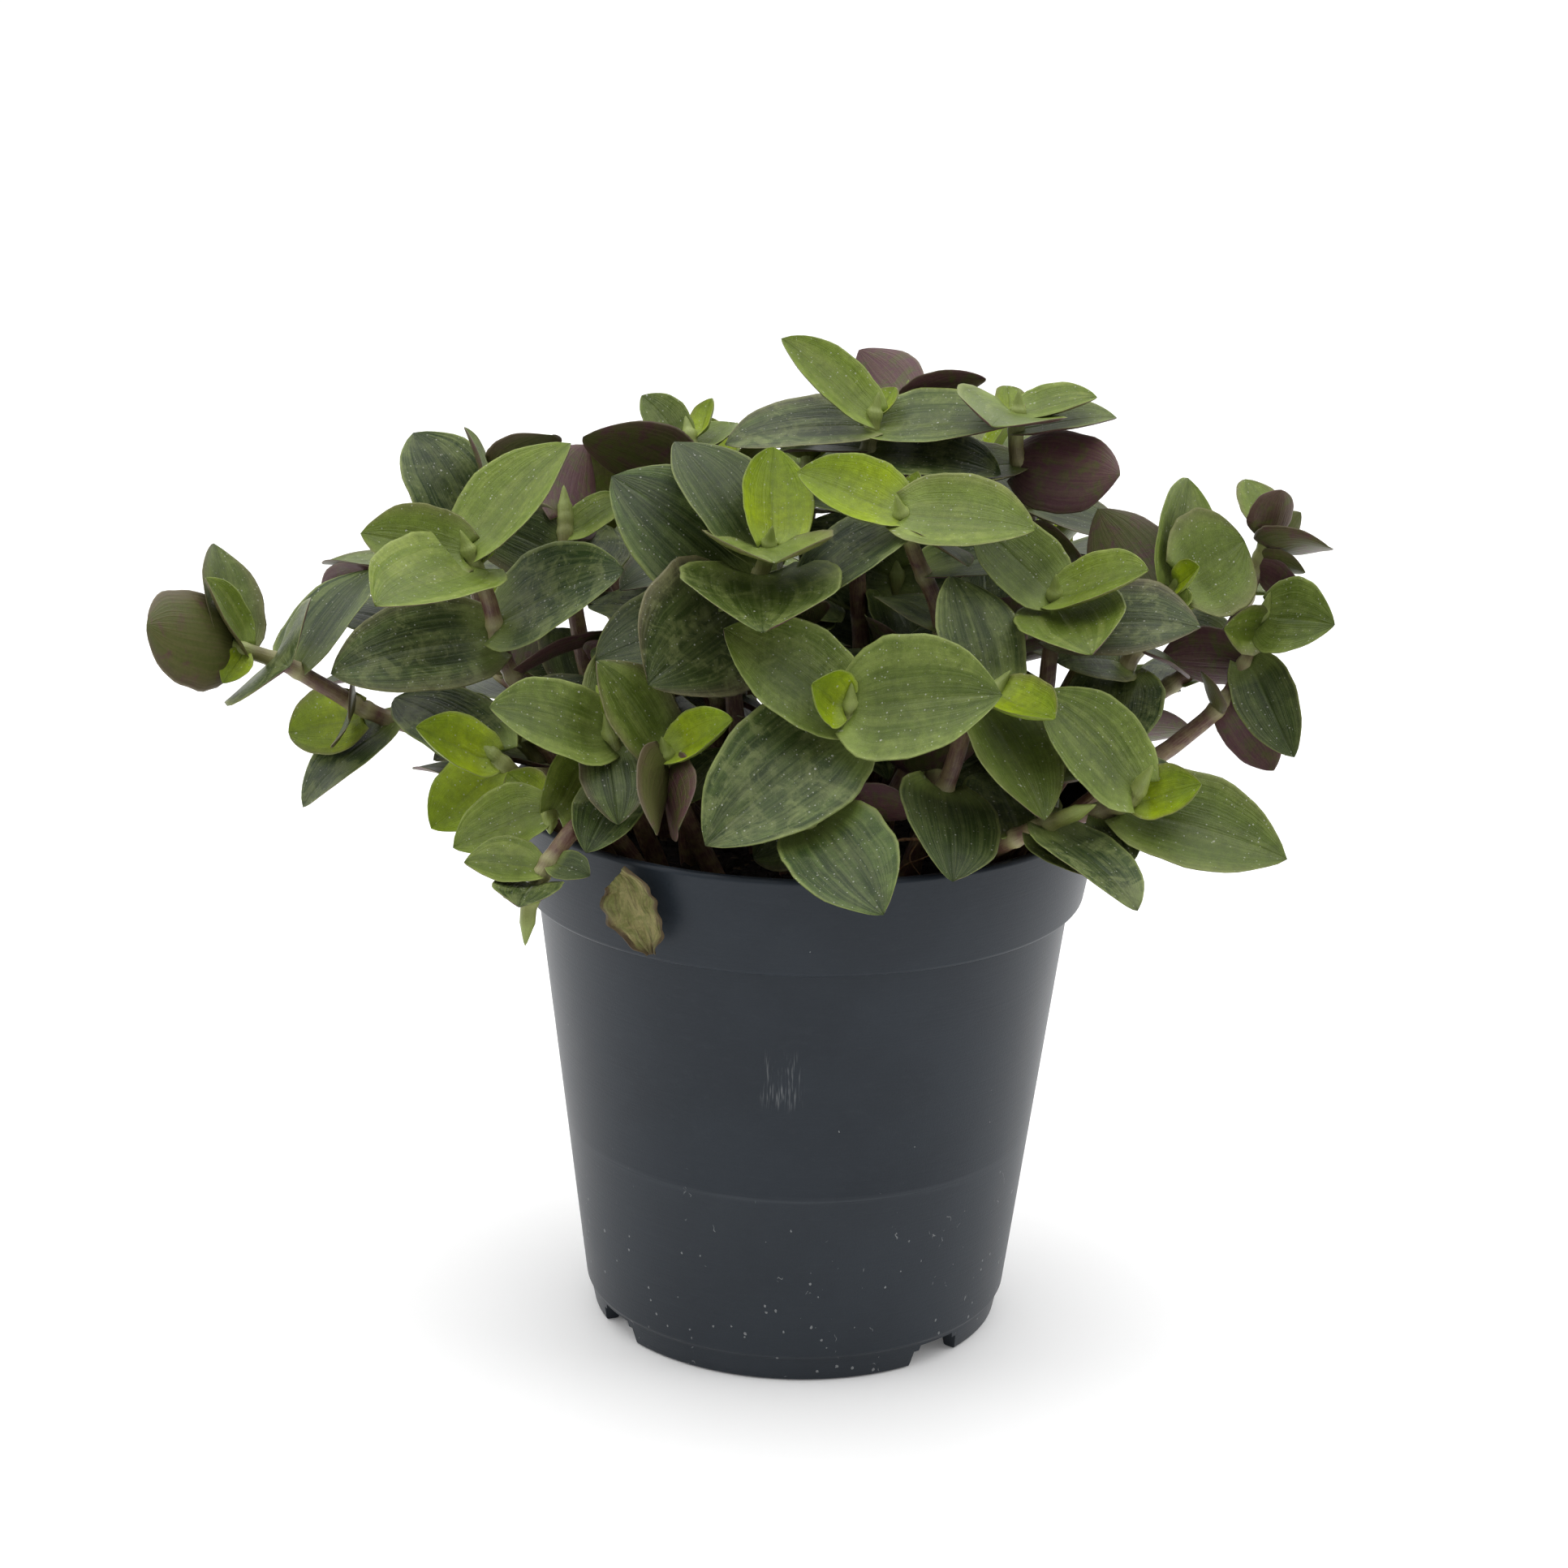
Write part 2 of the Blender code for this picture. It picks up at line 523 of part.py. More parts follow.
class Plant:
    def __init__(self, fixed):
        self.fixed = fixed            # trees of the pot and the soil
        self.shoots = []
        self.grown = []               # (low, high, tree, shoot, leaf number)
        self.missing = []

    def add(self, name, points):
        shoot = Shoot(name, points)
        self.shoots.append(shoot)
        shoot.bare = shoot.tube()[0].tree()
        return shoot

    def free(self, whole, near, shoot):
        """Whether a leaf keeps clear: all of it of the other shoots, and all but its base of its own."""
        low = [min(v[k] for v in whole.verts) for k in range(3)]
        high = [max(v[k] for v in whole.verts) for k in range(3)]
        whole, near = whole.tree(), near.tree()
        for lo, hi, other, owner in self.grown:
            if all(lo[k] <= high[k] and hi[k] >= low[k] for k in range(3)):
                if (near if owner is shoot else whole).overlap(other):
                    return False
        if near.overlap(shoot.bare) or any(whole.overlap(other.bare) for other in self.shoots if other is not shoot):
            return False
        return not any(whole.overlap(f) for f in self.fixed)

    def grow(self, shoot, row, tries=NUDGES, must=True):
        s, heading, rise, length, width, roll, youth = row
        d0, _, _ = axes(heading, rise, roll)
        seat = shoot.seat(s, d0)
        if seat is None:
            self.missing.append((shoot.name, row, "no seat"))
            return False
        cell, s, side, root, out = seat
        for a, b, c, turn, size in tries:
            d = (d0 + vec(c, a, b)).normalized()
            d, sd, n = axes(math.degrees(math.atan2(d.y, d.x)), math.degrees(math.asin(max(-1, min(1, d.z)))), roll + turn)
            leaf = (d, sd, n, length * size, width * size * BROAD, youth)
            whole = test_shape(leaf, root, out, 0.0, CLEAR)
            near = test_shape(leaf, root, out, 0.17, 0.12)
            if self.free(whole, near, shoot):
                if cell < 0:
                    shoot.cells.append([s, {}])
                    cell = len(shoot.cells) - 1
                shoot.cells[cell][1][side] = len(shoot.leaves)
                shoot.leaves.append((leaf, root, out))
                kept = test_shape(leaf, root, out, 0.0, 0.0)
                low = [min(v[k] for v in kept.verts) for k in range(3)]
                high = [max(v[k] for v in kept.verts) for k in range(3)]
                self.grown.append((low, high, kept.tree(), shoot))
                return True
        if must:
            self.missing.append((shoot.name, row, "no room"))
        return False


def far_side_points(root, tip):
    """A stem that rises from the soil, leans out over the rim and turns up at its end."""
    (ra, rr), (ta, tr, tz) = root, tip
    ra, ta = math.radians(ra), math.radians(ta)
    out = tr > 46
    points = [(rr * math.cos(ra), rr * math.sin(ra), 76)]
    if out:
        points.append((39 * math.cos(ta), 39 * math.sin(ta), 83))
        points.append((46 * math.cos(ta), 46 * math.sin(ta), max(87.4, 76 + 0.42 * (tz - 76))))
    else:
        m = (rr * 0.55 + tr * 0.45)
        points.append((m * math.cos(ta), m * math.sin(ta), 76 + 0.5 * (tz - 76)))
    points.append((tr * 0.94 * math.cos(ta), tr * 0.94 * math.sin(ta), tz - 8 if tz > 96 else tz - 1))
    points.append((tr * math.cos(ta), tr * math.sin(ta), tz))
    return points


def pot_profile():
    """Outer and inner outlines of the pot, from the floor's middle round to it again."""
    slope = (WALL_TOP_R - WALL_LOW_R) / (POT_H - LIP_H - CREASE_Z)
    inner = lambda z: WALL_LOW_R + slope * (z - CREASE_Z) - WALL_T
    step = POT_H - LIP_H + 1.4
    outer = [(FOOT_R, 0.0), (WALL_LOW_R - 0.5, CREASE_Z - 0.5), (WALL_LOW_R, CREASE_Z), (WALL_TOP_R, POT_H - LIP_H),
             (LIP_LOW_R - 0.35, POT_H - LIP_H), (LIP_LOW_R, POT_H - LIP_H + 0.4), (RIM_R - 0.25, POT_H - 0.5), (RIM_R - 0.6, POT_H)]
    inside = [(RIM_R - 1.5, POT_H), (RIM_R - 1.75, POT_H - 0.4), (LIP_LOW_R - 1.3, step + 0.6), (inner(step) - 0.2, step - 0.6),
              (inner(FLOOR_Z + FLOOR_T + 2.0), FLOOR_Z + FLOOR_T + 2.0), (inner(FLOOR_Z + FLOOR_T) - 1.4, FLOOR_Z + FLOOR_T)]
    under = [(FOOT_R - FOOT_T - 0.3, FLOOR_Z), (FOOT_R - FOOT_T, 0.0)]
    return outer, inside, under


def make_pot():
    """A turned shell with a raised floor, drain holes and a foot ring cut into lengths."""
    outer, inside, under = pot_profile()
    bm = bmesh.new()
    ring = outer + inside
    below = under
    rows = []
    for k in range(SIDES):
        a = 2 * math.pi * (k + 0.5) / SIDES
        rows.append([bm.verts.new((r * math.cos(a), r * math.sin(a), z)) for r, z in below[::-1] + ring])
    # order: foot inner bottom, floor underside edge, then the outside up and the inside down
    n = len(rows[0])
    order = [1, 0] + list(range(2, n))
    for k in range(SIDES):
        a, b = rows[k], rows[(k + 1) % SIDES]
        for i, j in zip(order, order[1:]):
            bm.faces.new((a[i], b[i], b[j], a[j]))
    bm.faces.new([r[order[-1]] for r in rows])
    bm.faces.new([r[order[0]] for r in rows][::-1])
    bmesh.ops.recalc_face_normals(bm, faces=bm.faces[:])
    return bm


def add(name, bm, colour, rough, smooth=None):
    for v in bm.verts:
        v.co = (v.co + Vector((AXIS_X, AXIS_Y, 0))) * 0.001
    mesh = bpy.data.meshes.new(name)
    bm.to_mesh(mesh)
    bm.free()
    obj = bpy.data.objects.new(name, mesh)
    bpy.context.scene.collection.objects.link(obj)
    mat = bpy.data.materials.new(name)
    mat.use_nodes = True
    shader = mat.node_tree.nodes["Principled BSDF"]
    shader.inputs["Base Color"].default_value = (*colour, 1)
    shader.inputs["Roughness"].default_value = rough
    mesh.materials.append(mat)
    if smooth:
        mesh.polygons.foreach_set("use_smooth", [True] * len(mesh.polygons))
        mesh.set_sharp_from_angle(angle=math.radians(smooth))
    return obj


def cutter(name, bm):
    obj = add(name, bm, (0.5, 0.5, 0.5), 0.5)
    obj.hide_render = True
    obj.display_type = "WIRE"
    return obj


def boolean(obj, tool):
    mod = obj.modifiers.new(tool.name, "BOOLEAN")
    mod.operation = "DIFFERENCE"
    mod.solver = "EXACT"
    mod.object = tool


def prism(points, z0, z1):
    """Adds an upright prism on the given outline."""
    bm = bmesh.new()
    low = [bm.verts.new((x, y, z0)) for x, y in points]
    high = [bm.verts.new((x, y, z1)) for x, y in points]
    bm.faces.new(low[::-1])
    bm.faces.new(high)
    for i in range(len(points)):
        j = (i + 1) % len(points)
        bm.faces.new((low[i], low[j], high[j], high[i]))
    bmesh.ops.recalc_face_normals(bm, faces=bm.faces[:])
    return bm


def notch(angle):
    """A gap in the foot ring with sloping ends."""
    a = math.radians(angle)
    half = math.radians(NOTCH_SPAN / 2)
    bm = bmesh.new()
    corners = []
    for z, more in ((-1.0, 0.0), (CREASE_Z - 1.0, math.radians(2.0))):
        for r in (FOOT_R - FOOT_T - 2.0, FOOT_R + 3.0):
            for s in (-1, 1):
                t = a + s * (half - more)
                corners.append(bm.verts.new((r * math.cos(t), r * math.sin(t), z)))
    for face in ((0, 1, 3, 2), (4, 6, 7, 5), (0, 4, 5, 1), (2, 3, 7, 6), (0, 2, 6, 4), (1, 5, 7, 3)):
        bm.faces.new([corners[i] for i in face])
    bmesh.ops.recalc_face_normals(bm, faces=bm.faces[:])
    return bm


def make_soil():
    slope = (WALL_TOP_R - WALL_LOW_R) / (POT_H - LIP_H - CREASE_Z)
    inner = lambda z: WALL_LOW_R + slope * (z - CREASE_Z) - WALL_T - SOIL_GAP
    base = FLOOR_Z + FLOOR_T + SOIL_GAP
    step = POT_H - LIP_H + 0.4
    profile = [(inner(base) - 2.1, base), (inner(base + 2.2), base + 2.2), (inner(step), step), (inner(step) + 0.2, SOIL_TOP - 1.2),
               (inner(step) - 3.0, SOIL_TOP - 0.5), (22.0, SOIL_TOP - 0.1)]
    sides = 40
    bm = bmesh.new()
    rows = []
    for k in range(sides):
        a = 2 * math.pi * k / sides
        row = []
        for i, (r, z) in enumerate(profile):
            lump = 0.35 * math.sin(3 * a + i) + 0.25 * math.sin(7 * a + 2 * i) if i > 3 else 0.0
            row.append(bm.verts.new((r * math.cos(a), r * math.sin(a), z + lump - (0.3 if i > 3 else 0))))
        rows.append(row)
    for k in range(sides):
        a, b = rows[k], rows[(k + 1) % sides]
        for i in range(len(profile) - 1):
            bm.faces.new((a[i], b[i], b[i + 1], a[i + 1]))
    bm.faces.new([r[0] for r in rows][::-1])
    top = bm.verts.new((0, 0, SOIL_TOP))
    for k in range(sides):
        bm.faces.new((rows[k][-1], rows[(k + 1) % sides][-1], top))
    bmesh.ops.recalc_face_normals(bm, faces=bm.faces[:])
    return bm


def make_strand(points, r0, r1, sides=5):
    """A thin tapering strand through the points."""
    path = Path(points)
    bm = bmesh.new()
    n = max(3, int(path.length / 3))
    u = path.heading(0).orthogonal().normalized()
    rings = []
    for k in range(n + 1):
        s = path.length * k / n
        t = path.heading(s)
        u = (u - t * u.dot(t)).normalized()
        v = t.cross(u)
        r = r0 + (r1 - r0) * k / n
        rings.append([bm.verts.new(path.place(s) + (u * math.cos(a) + v * math.sin(a)) * r) for a in (2 * math.pi * i / sides for i in range(sides))])
    for a, b in zip(rings, rings[1:]):
        for i in range(sides):
            bm.faces.new((a[i], a[(i + 1) % sides], b[(i + 1) % sides], b[i]))
    bm.faces.new(rings[0][::-1])
    bm.faces.new(rings[-1])
    bmesh.ops.recalc_face_normals(bm, faces=bm.faces[:])
    return bm


# The dead leaf: centre line down over the lip, half widths, and which way its edges curl
DEAD_LINE = ((-26, -38.5, 81), (-25, -39, 80), (-24, -39.5, 77.5), (-22.5, -40, 74), (-21, -40, 70))
DEAD_HALF = (2.5, 4.6, 4.6, 3.4, 0.8)


def make_dead_leaf():
    path = Path(DEAD_LINE)
    bm = bmesh.new()
    rings = []
    n = 9
    for k in range(n + 1):
        s = path.length * k / n
        t = path.heading(s)
        f = k / n * (len(DEAD_HALF) - 1)
        i = min(int(f), len(DEAD_HALF) - 2)
        half = DEAD_HALF[i] + (DEAD_HALF[i + 1] - DEAD_HALF[i]) * (f - i)
        p = path.place(s)
        out = vec(p.x, p.y, 0).normalized()
        side = t.cross(out).normalized()
        up = side.cross(t).normalized()
        wave = 0.5 * math.sin(1.9 * k)
        ring = []
        for across, high in ((-1, 0.9), (-0.45, 0.1 + wave * 0.4), (0, 0.35), (0.5, 0.1 - wave * 0.4), (1, 1.1)):
            ring.append(bm.verts.new(p + side * (half * across) + up * (high * min(1, half / 2))))
        for across, high in ((0.5, -0.35 - wave * 0.4), (0, -0.1), (-0.45, -0.35 + wave * 0.4)):
            ring.append(bm.verts.new(p + side * (half * across) + up * (high * min(1, half / 2) - 0.25)))
        rings.append(ring)
    for a, b in zip(rings, rings[1:]):
        for i in range(8):
            bm.faces.new((a[i], a[(i + 1) % 8], b[(i + 1) % 8], b[i]))
    bm.faces.new(rings[0][::-1])
    bm.faces.new(rings[-1])
    bmesh.ops.recalc_face_normals(bm, faces=bm.faces[:])
    return bm


def tree_of(bm):
    bm = bm.copy()
    bmesh.ops.triangulate(bm, faces=bm.faces[:])
    tree = BVHTree.FromBMesh(bm)
    bm.free()
    return tree


def grow_plant(pot_tree, soil_tree, dead_tree):
    plant = Plant([pot_tree, soil_tree, dead_tree])
    shoots = [(plant.add(name, points), rows) for name, points, rows in SHOOTS]
    rear = [(plant.add(name, far_side_points(root, tip)), root, tip, count, first, size) for name, root, tip, count, first, size in BACK_SHOOTS]
    inner = [(plant.add(name, (root, [(a + b) / 2 + c for a, b, c in zip(root, tip, (0.6, -0.4, 1))], tip)), first, count) for name, root, tip, first, count in INNER_SHOOTS]
    for shoot, rows in shoots:
        for row in rows:
            plant.grow(shoot, row)
    # the rear shoots: a pair of rows of leaves, turned a little at each node, larger and lower away from the tip
    for shoot, root, tip, count, first, size in rear:
        for k in range(count):
            s = shoot.path.length - 0.8 - (1.2 * k if k < 3 else 2.4 + 6.2 * (k - 2))
            if s < 9:
                break
            heading = first + 180 * (k % 2) + 23 * (k // 2)
            rise = 55 - 14 * k if k < 4 else 8 - 3 * k
            length = min(23, 10 + 4.2 * k) * size
            plant.grow(shoot, (s, heading, rise, length, 0.72 * length, 12 * math.sin(2.1 * k + first), max(0.05, 0.8 - 0.25 * k)), must=False)
    for shoot, first, count in inner:
        for k in range(count):
            s = shoot.path.length - 0.8 - (1.0 * k if k < 2 else 1.0 + 4.5 * (k - 1))
            if s < 3:
                break
            length = min(19, 11 + 3.2 * k)
            plant.grow(shoot, (s, first + 165 * (k % 2) + 31 * (k // 2), 38 - 14 * k, length, 0.74 * length, 14 * math.sin(2.3 * k + first), max(0.0, 0.25 - 0.1 * k)), must=False)
    # hidden leaves lower down on the shoots of the near side, which turn to the back where there is room
    for number, (shoot, rows) in enumerate(shoots):
        k = 0
        s = shoot.path.length - 12
        while s > 12 and k < 3 and not shoot.name.endswith(("trailing", "edge_low")):
            heading = 90 + 70 * math.sin(1.7 * k + number)
            if all(abs(cell[0] - s) > 3.5 for cell in shoot.cells):
                plant.grow(shoot, (s, heading, 4, 17, 12.5, 10 * math.sin(number + k), 0.05), tries=NUDGES[:160], must=False)
            k += 1
            s -= 9
    return plant


def main():
    for obj in list(bpy.data.objects):
        bpy.data.objects.remove(obj, do_unlink=True)

    pot_bm = make_pot()
    pot_tree = tree_of(pot_bm)
    soil_bm = make_soil()
    soil_tree = tree_of(soil_bm)
    dead_bm = make_dead_leaf()
    dead_tree = tree_of(dead_bm)

    pot = add("pot", pot_bm, (0.075, 0.082, 0.092), 0.55, smooth=35)
    for k, heading in enumerate(NOTCHES):
        boolean(pot, cutter("cut_notch_%d" % k, notch(heading)))
    for k in range(4):
        a = math.radians(45 + 90 * k)
        hole = [(DRAIN_AT * math.cos(a) + DRAIN_R * math.cos(t), DRAIN_AT * math.sin(a) + DRAIN_R * math.sin(t)) for t in (2 * math.pi * i / 16 for i in range(16))]
        boolean(pot, cutter("cut_drain_%d" % k, prism(hole, FLOOR_Z - 2, FLOOR_Z + FLOOR_T + 2)))
    add("soil", soil_bm, (0.02, 0.015, 0.011), 0.95, smooth=40)
    add("withered_leaf", dead_bm, (0.23, 0.19, 0.05), 0.7, smooth=60)

    plant = grow_plant(pot_tree, soil_tree, dead_tree)
    for shoot in plant.shoots:
        solid = shoot.solid()
        bm = bmesh.new()
        verts = [bm.verts.new(v) for v in solid.verts]
        for face in solid.faces:
            bm.faces.new([verts[i] for i in face])
        bmesh.ops.recalc_face_normals(bm, faces=bm.faces[:])
        add(shoot.name, bm, (0.13, 0.2, 0.06), 0.45, smooth=50)
    for name, points, r0, r1 in (
        ("dry_root_front", ((10.5, -30.5, 78), (13, -30.5, 84), (16, -31, 85), (20, -31.5, 82), (21, -32, 79)), 0.35, 0.25),
        ("dry_twig_right", ((46.6, -24, 87.5), (49.5, -25, 85.5), (53.9, -26, 84)), 0.6, 0.35),
    ):
        add(name, make_strand(points, r0, r1), (0.16, 0.08, 0.03), 0.8, smooth=60)
    print("leaves", sum(len(s.leaves) for s in plant.shoots), "missing", len(plant.missing))
    for item in plant.missing:
        print("   ", item)


main()
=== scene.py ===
"""Looks of the potted turtle vine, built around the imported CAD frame.

Lengths are millimetres in the plant's own numbers and become metres when a mesh is made.
The first half grows the plant by the same rules as the CAD source, so that every leaf here lies
where its plain CAD leaf lies. The second half gives each shoot its fine mesh and its materials.
"""
import math

import bmesh
import bpy
import numpy as np
from mathutils import Matrix, Vector
from mathutils.bvhtree import BVHTree


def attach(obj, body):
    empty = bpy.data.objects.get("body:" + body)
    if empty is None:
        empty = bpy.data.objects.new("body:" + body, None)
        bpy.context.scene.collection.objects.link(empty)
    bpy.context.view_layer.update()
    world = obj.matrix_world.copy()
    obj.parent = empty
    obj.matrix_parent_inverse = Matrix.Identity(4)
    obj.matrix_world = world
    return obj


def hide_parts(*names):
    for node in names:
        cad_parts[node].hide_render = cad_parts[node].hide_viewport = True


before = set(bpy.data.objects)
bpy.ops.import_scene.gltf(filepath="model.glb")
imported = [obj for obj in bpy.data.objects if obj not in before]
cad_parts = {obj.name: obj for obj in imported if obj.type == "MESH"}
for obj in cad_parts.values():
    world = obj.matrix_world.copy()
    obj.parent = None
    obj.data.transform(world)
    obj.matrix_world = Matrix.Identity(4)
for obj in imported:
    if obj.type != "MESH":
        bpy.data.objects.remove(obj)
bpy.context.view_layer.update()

# ---------------------------------------------------------------------------------------------
# The plant's rules, as in the CAD source
# ---------------------------------------------------------------------------------------------

AXIS_X, AXIS_Y = 8.5, -8.2
# Pot: a 9 cm nursery pot
RIM_R = 45.0
POT_H = 82.8
LIP_H = 15.0
LIP_LOW_R = 42.3
WALL_TOP_R = 40.3
WALL_LOW_R = 32.5
CREASE_Z = 4.4
FOOT_R = 31.2
WALL_T = 1.1
FLOOR_Z = 5.0
FLOOR_T = 1.3
FOOT_T = 2.0
SIDES = 60
NOTCHES = (-47, -148, 122, 37)   # headings of the gaps in the foot ring
NOTCH_SPAN = 19        # degrees
DRAIN_R = 3.2
DRAIN_AT = 19.0
# Soil
SOIL_TOP = 74.6
SOIL_GAP = 0.35
# Stems and leaves
STEM_SIDES = 6
STEM_R0, STEM_R1 = 1.55, 1.15
NODE_H = 1.6           # length of stem that carries a leaf base
NODE_STEP = 2.0
BROAD = 1.1            # every leaf is this much broader than its row says
LEAF_T = 0.9
CLEAR = 0.38
